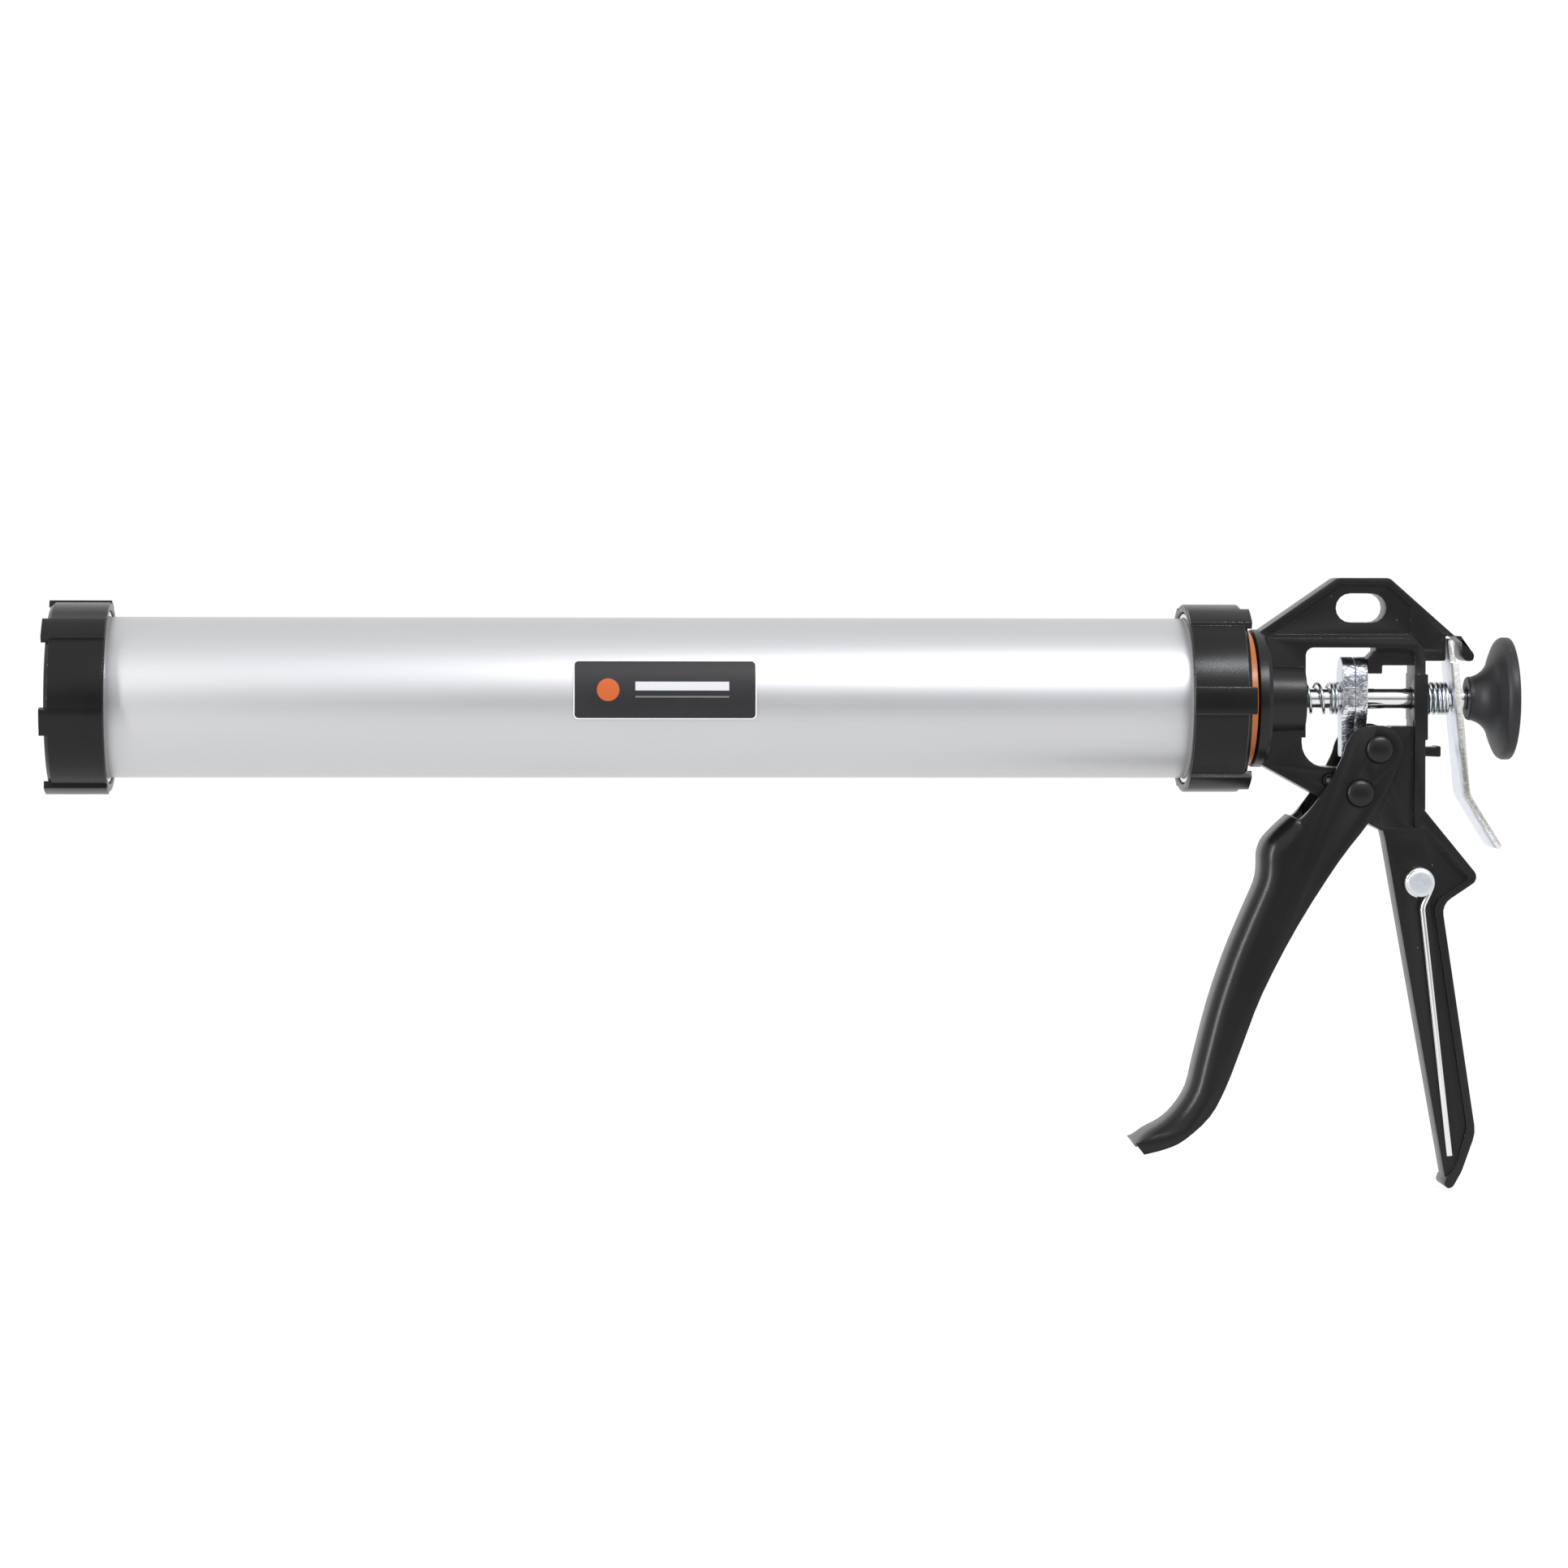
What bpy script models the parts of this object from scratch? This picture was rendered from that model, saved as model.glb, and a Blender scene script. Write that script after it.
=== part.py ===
"""Closed-barrel caulking gun for foil packs, plunger pushed forward.

Metres, +Z up. The barrel lies along X: the front cap is at -X and the pull knob at +X. The handle hangs
down, and the foil piercer is on the -Y side. The origin is the centre of the knob's flat rear face.
"""

import math

import bmesh
import bpy
from mathutils import Matrix, Vector

# Clearances
GAP = 0.0003
ROD_PLAY = 0.0004
PIN_PLAY = 0.0003
SIDE_PLAY = 0.0004

# Plunger
ROD_RADIUS = 0.0034
KNOB_RADIUS = 0.0200
KNOB_LENGTH = 0.0142
KNOB_NECK_RADIUS = 0.00715
KNOB_BACK = 0.0030
ROD_SETBACK = 0.0015
PISTON_PLAY = 0.0010
SPRING_PLAY = 0.0010
PISTON_THICKNESS = 0.0085
SEAL_THICKNESS = 0.0030
BACKING_THICKNESS = 0.0015
NUT_THICKNESS = 0.0045
NUT_RADIUS = 0.0065

# Frame casting, along the barrel axis
FLANGE_X = -0.0855
FLANGE_THICKNESS = 0.0045
FLANGE_RADIUS = 0.0225
HUB_RADIUS = 0.0125
HUB_END_X = -0.0685
NOSE_RADIUS = 0.0140
GROOVE_DEPTH = 0.0015
WEB_HALF = 0.0050
BORDER_HALF = 0.0062
NOTCH_PAD_HALF = 0.0068
BAND_HALF = 0.0070
HANDLE_HALF = 0.0072
HANDLE_FLOOR_HALF = 0.0048
STRUT_FRONT_X = -0.0324
STRUT_REAR_X = -0.0289
WINDOW_TOP_Z = 0.0167
BAND_TOP_Z = 0.0198
SLOT_CENTRE = (-0.0498, 0.0296)
SLOT_LENGTH = 0.0166
SLOT_WIDTH = 0.0095
SPRING_POCKET_DEPTH = 0.0040

# Barrel
TUBE_RADIUS = 0.0260
TUBE_WALL = 0.0013
TUBE_LENGTH = 0.3770
SWIVEL_RING_RADIUS = 0.0217
SWIVEL_RING_THICKNESS = 0.0030
CAP_LIP = 0.0020
SEAT_THICKNESS = 0.0025
COLLAR_WALL = 0.0016
CAP_WALL = 0.0024
CAP_LOBES = 6
LOBE_HEIGHT = 0.0010
LOBE_HALF_ANGLE = math.radians(8.75)
LOBE_OVERHANG = 0.0014
REAR_CAP_LENGTH = 0.0188
FRONT_CAP_LENGTH = 0.0190
FRONT_WALL = 0.0034
FRONT_LOBE_TURN = math.radians(13.6)
NOZZLE_HOLE_RADIUS = 0.0150
NOZZLE_RIM = 0.0022
RETAINER_THICKNESS = 0.0014
RETAINER_RADIUS = 0.0172
LABEL_FROM_REAR = 0.1833
LABEL_LENGTH = 0.0585
LABEL_HEIGHT = 0.0189
LABEL_THICKNESS = 0.0003
LABEL_TILT = math.radians(7.5)

# Drive
DRIVE_PLATE_THICKNESS = 0.0039
DRIVE_PLATE_REAR_X = -0.0477
DRIVE_PLATE_TOP_Z = 0.0135
DRIVE_PLATE_FOOT_Z = -0.0190
DRIVE_PLATE_HALF_WIDTH = 0.0064
DRIVE_TAIL_HALF_WIDTH = 0.0036
DRIVE_SPRING_WIRE = 0.0005
DRIVE_SPRING_TURNS = 5
RELEASE_SPRING_WIRE = 0.00055
RELEASE_SPRING_TURNS = 4.5
CLOSED_PITCH = 2.5
RELEASE_THICKNESS = 0.0020
RELEASE_HALF_WIDTH = 0.0095
RELEASE_TONGUE_HALF = 0.0050
RELEASE_SHOULDER_Z = 0.0118
RELEASE_LEAN = math.radians(5.4)
RELEASE_TOP = (-0.0203, 0.0196)
RELEASE_BEND_Z = -0.0313
RELEASE_TIP = (-0.0048, -0.0486)

# Trigger
PIVOT = (-0.0509, -0.0305)
PIVOT_BOSS_RADIUS = 0.0095
PIVOT_PIN_RADIUS = 0.0029
DRIVE_PIN_RADIUS = 0.0027
DRIVE_PIN = (DRIVE_PLATE_REAR_X + GAP + DRIVE_PIN_RADIUS, -0.0162)
RIVET_HEAD_RADIUS = 0.0045
RIVET_HEAD_HEIGHT = 0.0017
TRIGGER_HALF = 0.0110
TRIGGER_SHEET = 0.0013
TRIGGER_BEND = 0.0065
TRIGGER_HEAD_RADIUS = 0.0077
STOP_PIN = (-0.0605, -0.0265)
STOP_PIN_RADIUS = 0.0021
STOP_PIN_BORE = 0.0011

# Foil piercer
PIERCER_RIVET = (-0.0309, -0.0598)
PIERCER_WIRE_RADIUS = 0.00095
PIERCER_LOOP_RADIUS = 0.0041
PIERCER_KNEE = (-0.0301, -0.0679)
PIERCER_END = (-0.0209, -0.1487)
PIERCER_HEAD_RADIUS = 0.0045
PIERCER_HEAD_HEIGHT = 0.0012

# What follows from them
BOSS_HALF = TRIGGER_HALF - TRIGGER_SHEET - SIDE_PLAY
ROD_HOLE = ROD_RADIUS + ROD_PLAY
DRIVE_SPRING_RADIUS = ROD_RADIUS + SPRING_PLAY + DRIVE_SPRING_WIRE
RELEASE_SPRING_RADIUS = ROD_RADIUS + SPRING_PLAY + RELEASE_SPRING_WIRE
RING_REAR_X = FLANGE_X - GAP
RING_FRONT_X = RING_REAR_X - SWIVEL_RING_THICKNESS
CAP_REAR_X = RING_FRONT_X - GAP
SEAT_REAR_X = CAP_REAR_X - CAP_LIP - GAP
SEAT_FRONT_X = SEAT_REAR_X - SEAT_THICKNESS
TUBE_REAR_X = SEAT_FRONT_X - GAP
TUBE_FRONT_X = TUBE_REAR_X - TUBE_LENGTH
TUBE_BORE = TUBE_RADIUS - TUBE_WALL
RETAINER_REAR_X = SEAT_FRONT_X - GAP
RETAINER_FRONT_X = RETAINER_REAR_X - RETAINER_THICKNESS
NOSE_FRONT_X = RETAINER_FRONT_X - 0.0018
COLLAR_BORE = TUBE_RADIUS + GAP
COLLAR_RADIUS = COLLAR_BORE + COLLAR_WALL
CAP_BORE = COLLAR_RADIUS + GAP
CAP_RADIUS = CAP_BORE + CAP_WALL
REAR_MOUTH_X = CAP_REAR_X - REAR_CAP_LENGTH
FRONT_WALL_X = TUBE_FRONT_X - GAP
FRONT_CAP_X = FRONT_WALL_X - FRONT_WALL
FRONT_MOUTH_X = FRONT_CAP_X + FRONT_CAP_LENGTH
PISTON_FRONT_X = FRONT_WALL_X + PISTON_PLAY
ROD_FRONT_X = PISTON_FRONT_X + ROD_SETBACK
LABEL_CENTRE_X = TUBE_REAR_X - LABEL_FROM_REAR

OBJECT_NAME = "caulking_gun"
QUARTER = math.pi / 2
ALONG = {"X": (0, QUARTER, 0), "Y": (-QUARTER, 0, 0), "Z": (0, 0, 0)}
FACING_Y = (QUARTER, 0, 0)
FACING_X = (QUARTER, 0, QUARTER)


def clear_scene():
    for obj in list(bpy.data.objects):
        bpy.data.objects.remove(obj, do_unlink=True)


def new_collection(name):
    group = bpy.data.collections.new(name)
    bpy.context.scene.collection.children.link(group)
    return group


clear_scene()
PARTS = new_collection(OBJECT_NAME)
CUTTERS = new_collection("cutters")


def finish(name, colour, metallic, roughness):
    material = bpy.data.materials.new(name)
    material.use_nodes = True
    shader = material.node_tree.nodes["Principled BSDF"]
    shader.inputs["Base Color"].default_value = (*colour, 1)
    shader.inputs["Metallic"].default_value = metallic
    shader.inputs["Roughness"].default_value = roughness
    return material


BLACK_PAINT = finish("black_paint", (0.012, 0.012, 0.013), 0.0, 0.38)
TRIGGER_PAINT = finish("trigger_paint", (0.012, 0.012, 0.012), 0.0, 0.3)
BLACK_PLASTIC = finish("black_plastic", (0.012, 0.012, 0.014), 0.0, 0.45)
ALUMINIUM = finish("anodised_aluminium", (0.72, 0.73, 0.75), 1.0, 0.35)
ORANGE_PLASTIC = finish("orange_plastic", (0.62, 0.18, 0.04), 0.0, 0.45)
LABEL_FILM = finish("label_film", (0.045, 0.042, 0.047), 0.0, 0.4)
BRIGHT_STEEL = finish("bright_steel", (0.75, 0.76, 0.78), 1.0, 0.12)
ZINC = finish("zinc_plate", (0.66, 0.68, 0.71), 1.0, 0.32)
SPRING_WIRE = finish("spring_wire", (0.6, 0.62, 0.65), 1.0, 0.25)
WHITE_PLASTIC = finish("piston_plastic", (0.7, 0.7, 0.68), 0.0, 0.4)
RUBBER = finish("black_rubber", (0.02, 0.02, 0.02), 0.0, 0.7)


def place(obj, group, turn=(0, 0, 0), at=(0, 0, 0)):
    group.objects.link(obj)
    obj.rotation_euler = turn
    obj.location = at
    if group is CUTTERS:
        obj.hide_render = True
        obj.display_type = "WIRE"
    return obj


def turned(name, profile, group=PARTS, along="X", at=(0, 0, 0), ring=False, steps=40):
    """A profile of (radius, height) points turned about an axis; a ring's profile is closed."""
    count = len(profile)
    edges = [(i, (i + 1) % count) for i in range(count if ring else count - 1)]
    mesh = bpy.data.meshes.new(name)
    mesh.from_pydata([(radius, 0, height) for radius, height in profile], edges, [])
    obj = place(bpy.data.objects.new(name, mesh), group, ALONG[along], at)
    screw = obj.modifiers.new("turn", "SCREW")
    screw.axis = "Z"
    screw.steps = steps
    screw.render_steps = steps
    screw.use_merge_vertices = True
    screw.merge_threshold = 0.00001
    screw.use_smooth_shade = True
    return obj


def ring_profile(high, low, outer, inner, chamfer=0.0):
    """The closed section of a ring, from its high end down the outside and up the bore."""
    if not chamfer:
        return [(outer, high), (outer, low), (inner, low), (inner, high)]
    return [
        (outer - chamfer, high),
        (outer, high - chamfer),
        (outer, low + chamfer),
        (outer - chamfer, low),
        (inner, low),
        (inner, high),
    ]


def solid_profile(high, low, radius, chamfer=0.0):
    """The section of a solid round bar, from its high end to its low end."""
    if not chamfer:
        return [(0, high), (radius, high), (radius, low), (0, low)]
    return [
        (0, high),
        (radius - chamfer, high),
        (radius, high - chamfer),
        (radius, low + chamfer),
        (radius - chamfer, low),
        (0, low),
    ]


def as_mesh(name, curve, group, turn, at):
    """A curve's solid as a closed mesh object, its loose caps welded on."""
    draft = bpy.data.objects.new(name + "_curve", curve)
    bpy.context.scene.collection.objects.link(draft)
    graph = bpy.context.evaluated_depsgraph_get()
    mesh = bpy.data.meshes.new_from_object(draft.evaluated_get(graph))
    bpy.data.objects.remove(draft)
    bpy.data.curves.remove(curve)
    mesh.name = name
    work = bmesh.new()
    work.from_mesh(mesh)
    bmesh.ops.remove_doubles(work, verts=work.verts, dist=0.000002)
    bmesh.ops.recalc_face_normals(work, faces=work.faces)
    work.to_mesh(mesh)
    work.free()
    return place(bpy.data.objects.new(name, mesh), group, turn, at)


def flat(name, outlines, half, group=PARTS, turn=FACING_Y, at=(0, 0, 0)):
    """A flat outline, with holes if more outlines follow, extruded by half its thickness both ways."""
    curve = bpy.data.curves.new(name, "CURVE")
    curve.dimensions = "2D"
    curve.fill_mode = "BOTH"
    curve.extrude = half
    for outline in outlines:
        spline = curve.splines.new("POLY")
        spline.points.add(len(outline) - 1)
        for point, (u, v) in zip(spline.points, outline):
            point.co = (u, v, 0, 1)
        spline.use_cyclic_u = True
    return as_mesh(name, curve, group, turn, at)


def wire(name, points, radius, group=PARTS, sides=2):
    """A round wire along a list of points."""
    curve = bpy.data.curves.new(name, "CURVE")
    curve.dimensions = "3D"
    curve.bevel_depth = radius
    curve.bevel_resolution = sides
    curve.use_fill_caps = True
    spline = curve.splines.new("POLY")
    spline.points.add(len(points) - 1)
    for point, place_in_space in zip(spline.points, points):
        point.co = (*place_in_space, 1)
    return as_mesh(name, curve, group, (0, 0, 0), (0, 0, 0))


def boolean(obj, other, operation):
    modifier = obj.modifiers.new(other.name, "BOOLEAN")
    modifier.operation = operation
    modifier.object = other
    return obj


def cut(obj, *cutters):
    for cutter in cutters:
        boolean(obj, cutter, "DIFFERENCE")
    return obj


def join(obj, *others):
    for other in others:
        boolean(obj, other, "UNION")
    return obj


def dress(obj, material):
    obj.data.materials.append(material)
    if obj.type == "MESH" and not any(modifier.type == "SCREW" for modifier in obj.modifiers):
        obj.data.shade_smooth()
        obj.data.set_sharp_from_angle(angle=math.radians(35))
    return obj


def arc(centre, radius, first, last, count):
    """Points on an arc, angles in degrees."""
    angles = [math.radians(first + (last - first) * k / count) for k in range(count + 1)]
    return [(centre[0] + radius * math.cos(a), centre[1] + radius * math.sin(a)) for a in angles]


def rounded(corners, step=math.radians(18)):
    """An outline from corners (u, v, radius), each corner with a radius made an arc."""
    outline = []
    for index, (u, v, radius) in enumerate(corners):
        here = Vector((u, v))
        if not radius:
            outline.append((u, v))
            continue
        back = (Vector(corners[index - 1][:2]) - here).normalized()
        ahead = (Vector(corners[(index + 1) % len(corners)][:2]) - here).normalized()
        angle = back.angle(ahead)
        reach = radius / math.tan(angle / 2)
        centre = here + (back + ahead).normalized() * (radius / math.sin(angle / 2))
        start = here + back * reach - centre
        sweep = start.angle_signed(here + ahead * reach - centre)
        count = max(1, math.ceil(abs(sweep) / step))
        for k in range(count + 1):
            spoke = Matrix.Rotation(-sweep * k / count, 2) @ start
            outline.append(tuple(centre + spoke))
    return outline


def through(points, steps=3):
    """A smooth line through the points, from the first to the last."""
    line = []
    ends = [points[0], *points, points[-1]]
    for before, here, after, beyond in zip(ends, ends[1:], ends[2:], ends[3:]):
        p0, p1, p2, p3 = (Vector(p) for p in (before, here, after, beyond))
        for k in range(steps):
            t = k / steps
            bend = (2 * p0 - 5 * p1 + 4 * p2 - p3) * t * t + (3 * p1 - p0 - 3 * p2 + p3) * t**3
            line.append(tuple((2 * p1 + (p2 - p0) * t + bend) / 2))
    return [*line, tuple(points[-1])]


def inset(line, distance, extra=0.0, taper=8):
    """A line moved to the left of the way it runs; the extra distance fades out over its last points."""
    moved = []
    last = len(line) - 1
    for index, point in enumerate(line):
        way = (Vector(line[min(index + 1, last)]) - Vector(line[max(index - 1, 0)])).normalized()
        reach = distance + extra * min(1, (last - index) / taper)
        moved.append((point[0] - way.y * reach, point[1] + way.x * reach))
    return moved


def layered(name, layers, group=PARTS):
    """A solid through outlines in the XZ plane, each at its own Y, all with as many points."""
    count = len(layers[0][1])
    points = [(x, y, z) for y, outline in layers for x, z in outline]
    faces = [list(range(count)), list(range(len(points) - count, len(points)))]
    for first in range(0, len(points) - count, count):
        for k in range(count):
            after = (k + 1) % count
            faces.append([first + k, first + after, first + count + after, first + count + k])
    mesh = bpy.data.meshes.new(name)
    mesh.from_pydata(points, [], faces)
    work = bmesh.new()
    work.from_mesh(mesh)
    bmesh.ops.recalc_face_normals(work, faces=work.faces)
    work.to_mesh(mesh)
    work.free()
    return place(bpy.data.objects.new(name, mesh), group)


def bent_layers(half, bend, steps=4):
    """(Y, inset) of each layer of a sheet whose two long edges are bent to a radius."""
    angles = [QUARTER * k / steps for k in range(steps + 1)]
    near = [(-(half - bend + bend * math.sin(a)), bend - bend * math.cos(a)) for a in reversed(angles)]
    return near + [(-y, depth) for y, depth in reversed(near)]


def obround(centre, length, width):
    reach = (length - width) / 2
    right = arc((centre[0] + reach, centre[1]), width / 2, -90, 90, 8)
    left = arc((centre[0] - reach, centre[1]), width / 2, 90, 270, 8)
    return right + left


def drill(name, along, at, radius, high=1.0, low=-1.0, steps=32):
    """A round cutter along one axis, from low to high about its place."""
    return turned(name, solid_profile(high, low, radius), CUTTERS, along, at, steps=steps)


def across(point):
    """A place in the XZ plane as a point in space."""
    return (point[0], 0, point[1])


def helix(start_x, end_x, radius, turns, closed_pitch, points_per_turn=12):
    """A right-hand coil about the X axis whose last turn is closed up to the given pitch."""
    open_pitch = (end_x - start_x - closed_pitch) / (turns - 1)
    points = []
    for k in range(round(turns * points_per_turn) + 1):
        turned_by = k / points_per_turn
        closed = max(0, turned_by - (turns - 1))
        x = start_x + open_pitch * (turned_by - closed) + closed_pitch * closed
        angle = 2 * math.pi * turned_by
        points.append((x, -radius * math.sin(angle), radius * math.cos(angle)))
    return points


# ---------------------------------------------------------------- frame casting

TOP_LEFT = (-0.0577, 0.0394)
TOP_RIGHT = (-0.0406, 0.0394)
NOTCH_FRONT_X = -0.0223
NOTCH_REAR_X = -0.0168
NOTCH_TOP_Z = 0.0205
ARM_FOOT_Z = 0.0124


def frame_top():
    """The hanging gable, the rear arm and its claw."""
    corners = [
        (FLANGE_X + 0.0025, 0.0219, 0),
        (*TOP_LEFT, 0.0025),
        (*TOP_RIGHT, 0.0025),
        (-0.0119, 0.0141, 0.0022),
        (-0.0148, 0.0109, 0.0022),
        (NOTCH_REAR_X, 0.0140, 0.0010),
        (NOTCH_REAR_X, NOTCH_TOP_Z, 0.0005),
        (NOTCH_FRONT_X, NOTCH_TOP_Z, 0.0005),
        (NOTCH_FRONT_X, ARM_FOOT_Z, 0.0008),
        (STRUT_REAR_X - 0.0010, ARM_FOOT_Z, 0),
        (STRUT_REAR_X - 0.0010, WINDOW_TOP_Z + 0.0004, 0),
        (FLANGE_X + 0.0025, WINDOW_TOP_Z + 0.0004, 0),
    ]
    slot = obround(SLOT_CENTRE, SLOT_LENGTH, SLOT_WIDTH)
    return flat("frame_casting", [rounded(corners), slot], BORDER_HALF)


def frame_band():
    """The thick band round the window, with the lower arm."""
    corners = [
        (FLANGE_X + 0.0025, BAND_TOP_Z, 0),
        (STRUT_REAR_X, BAND_TOP_Z, 0.0065),
        (STRUT_REAR_X, -0.0360, 0),
        (-0.0330, -0.0430, 0),
        (-0.0430, -0.0430, 0),
        (-0.0570, -0.0355, 0),
        (FLANGE_X + 0.0025, -0.0212, 0),
    ]
    window = [
        (HUB_END_X + 0.0003, WINDOW_TOP_Z, 0.0026),
        (STRUT_FRONT_X, WINDOW_TOP_Z, 0.0026),
        (STRUT_FRONT_X, -0.0090, 0.0005),
        (-0.0405, -0.0090, 0.0015),
        (-0.0405, -0.0223, 0.0010),
        (-0.0695, -0.0223, 0.0080),
        (-0.0695, -0.0126, 0),
        (HUB_END_X + 0.0003, -0.0126, 0),
    ]
    return flat("frame_band", [rounded(corners), rounded(window)], BAND_HALF, CUTTERS)


def frame_handle():
    corners = [
        (-0.0450, -0.0330, 0),
        (-0.0416, -0.0459, 0.0100),
        (-0.0218, -0.1562, 0.0010),
        (-0.0229, -0.1592, 0.0016),
        (-0.0199, -0.1597, 0.0020),
        (-0.0167, -0.1540, 0.0060),
        (-0.0122, -0.1415, 0.0100),
        (-0.0234, -0.0670, 0.0055),
        (-0.0108, -0.0586, 0.0028),
        (STRUT_REAR_X - 0.0003, -0.0362, 0),
        (-0.0330, -0.0330, 0),
    ]
    return flat("frame_handle", [rounded(corners)], HANDLE_HALF, CUTTERS)


def both_sides(name, corners, depth_from, depth_to):
    """Two matching pockets, one in each side, from one depth out to the other."""
    half = (depth_to - depth_from) / 2
    middle = depth_from + half
    return [
        flat(name + side, [rounded(corners)], half, CUTTERS, at=(0, sign * middle, 0))
        for side, sign in (("_near", -1), ("_far", 1))
    ]


def build_frame():
    frame = frame_top()
    join(frame, frame_band(), frame_handle())
    hub = [
        (0, HUB_END_X),
        (HUB_RADIUS - 0.0003, HUB_END_X),
        (HUB_RADIUS, HUB_END_X - 0.0003),
        (HUB_RADIUS + 0.0004, FLANGE_X + FLANGE_THICKNESS),
        (FLANGE_RADIUS - 0.0013, FLANGE_X + FLANGE_THICKNESS),
        (FLANGE_RADIUS - 0.0010, FLANGE_X + FLANGE_THICKNESS - 0.0010),
        (FLANGE_RADIUS, FLANGE_X + FLANGE_THICKNESS - 0.0013),
        (FLANGE_RADIUS, FLANGE_X + 0.0004),
        (FLANGE_RADIUS - 0.0004, FLANGE_X),
        (NOSE_RADIUS, FLANGE_X),
        (NOSE_RADIUS, SEAT_FRONT_X),
        (NOSE_RADIUS - GROOVE_DEPTH, SEAT_FRONT_X),
        (NOSE_RADIUS - GROOVE_DEPTH, RETAINER_FRONT_X - GAP),
        (NOSE_RADIUS, RETAINER_FRONT_X - GAP),
        (NOSE_RADIUS, NOSE_FRONT_X + 0.0005),
        (NOSE_RADIUS - 0.0005, NOSE_FRONT_X),
        (0, NOSE_FRONT_X),
    ]
    boss = solid_profile(BOSS_HALF, -BOSS_HALF, PIVOT_BOSS_RADIUS)
    strut_pad = rounded(
        [
            (STRUT_FRONT_X - 0.0002, 0.0081, 0),
            (STRUT_REAR_X + 0.0007, 0.0081, 0.0005),
            (STRUT_REAR_X + 0.0007, -0.0134, 0.0005),
            (STRUT_FRONT_X - 0.0002, -0.0134, 0),
        ]
    )
    stop_lug = rounded(
        [
            (DRIVE_PLATE_REAR_X + GAP, 0.0082, 0.0004),
            (-0.0428, 0.0082, 0.0004),
            (-0.0428, 0.0109, 0.0004),
            (STRUT_FRONT_X + 0.0010, 0.0109, 0),
            (STRUT_FRONT_X + 0.0010, WINDOW_TOP_Z + 0.0010, 0),
            (-0.0449, WINDOW_TOP_Z + 0.0010, 0),
            (-0.0449, 0.0155, 0.0004),
            (DRIVE_PLATE_REAR_X + GAP, 0.0130, 0.0004),
        ]
    )
    notch_pad = rounded(
        [
            (STRUT_REAR_X - 0.0010, ARM_FOOT_Z, 0),
            (NOTCH_FRONT_X, ARM_FOOT_Z, 0.0008),
            (NOTCH_FRONT_X, NOTCH_TOP_Z, 0),
            (-0.0192, NOTCH_TOP_Z, 0),
            (-0.0203, NOTCH_TOP_Z + 0.0009, 0),
            (NOTCH_FRONT_X - 0.0010, NOTCH_TOP_Z + 0.0009, 0.0004),
            (NOTCH_FRONT_X - 0.0010, ARM_FOOT_Z + 0.0035, 0.0003),
            (STRUT_REAR_X - 0.0010, ARM_FOOT_Z + 0.0035, 0),
        ]
    )
    lever_stop = rounded(
        [
            (STRUT_REAR_X - 0.0010, -0.0158, 0),
            (-0.0251, -0.0158, 0.0003),
            (-0.0233, -0.0152, 0.0006),
            (-0.0233, -0.0190, 0.0006),
            (STRUT_REAR_X - 0.0010, -0.0187, 0),
        ]
    )
    join(
        frame,
        turned("frame_hub", hub, CUTTERS),
        turned("frame_pivot_boss", boss, CUTTERS, "Y", across(PIVOT)),
        flat("frame_strut_pad", [strut_pad], BAND_HALF + 0.0006, CUTTERS),
        flat("frame_stop_lug", [stop_lug], WEB_HALF, CUTTERS),
        flat("frame_lever_stop", [lever_stop], 0.0040, CUTTERS),
        flat("frame_notch_pad", [notch_pad], NOTCH_PAD_HALF, CUTTERS),
    )
    gable_pocket = [
        (-0.0800, BAND_TOP_Z + 0.0012, 0.0005),
        (-0.0570, 0.0374, 0.0015),
        (-0.0414, 0.0374, 0.0015),
        (-0.0336, 0.0305, 0.0010),
        (-0.0336, BAND_TOP_Z + 0.0012, 0.0010),
    ]
    web_pocket = [
        (-0.0420, -0.0070, 0),
        (STRUT_FRONT_X, -0.0070, 0),
        (STRUT_FRONT_X, -0.0420, 0),
        (-0.0345, -0.0408, 0.0005),
        (-0.0405, -0.0341, 0),
        (-0.0420, -0.0300, 0),
    ]
    handle_pocket = [
        (-0.0470, -0.0422, 0),
        (-0.0292, -0.0422, 0.0030),
        (-0.0143, -0.0584, 0.0012),
        (-0.0262, -0.0663, 0.0055),
        (-0.0150, -0.1400, 0.0090),
        (-0.0187, -0.1525, 0.0020),
        (-0.0215, -0.1560, 0),
        (-0.0290, -0.1560, 0),
    ]
    outside = 0.0150
    cut(
        frame,
        *both_sides("gable_pocket", gable_pocket, WEB_HALF, outside),
        *both_sides("web_pocket", web_pocket, WEB_HALF, outside),
        *both_sides("handle_pocket", handle_pocket, HANDLE_FLOOR_HALF, outside),
    )
    rivet_boss = solid_profile(HANDLE_HALF, -HANDLE_HALF, PIERCER_LOOP_RADIUS + PIERCER_WIRE_RADIUS)
    join(frame, turned("frame_rivet_boss", rivet_boss, CUTTERS, "Y", across(PIERCER_RIVET)))
    pocket_radius = DRIVE_SPRING_RADIUS + DRIVE_SPRING_WIRE + 0.0007
    cut(
        frame,
        drill("rod_hole", "X", (0, 0, 0), ROD_HOLE),
        drill("spring_pocket", "X", (HUB_END_X, 0, 0), pocket_radius, 0.001, -SPRING_POCKET_DEPTH),
        drill("pivot_hole", "Y", across(PIVOT), PIVOT_PIN_RADIUS + PIN_PLAY),
        drill("stop_pin_hole", "Y", across(STOP_PIN), STOP_PIN_RADIUS + PIN_PLAY),
        drill("piercer_hole", "Y", across(PIERCER_RIVET), piercer_shank() + PIN_PLAY),
    )
    return dress(frame, BLACK_PAINT)


# ---------------------------------------------------------------- barrel


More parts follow.
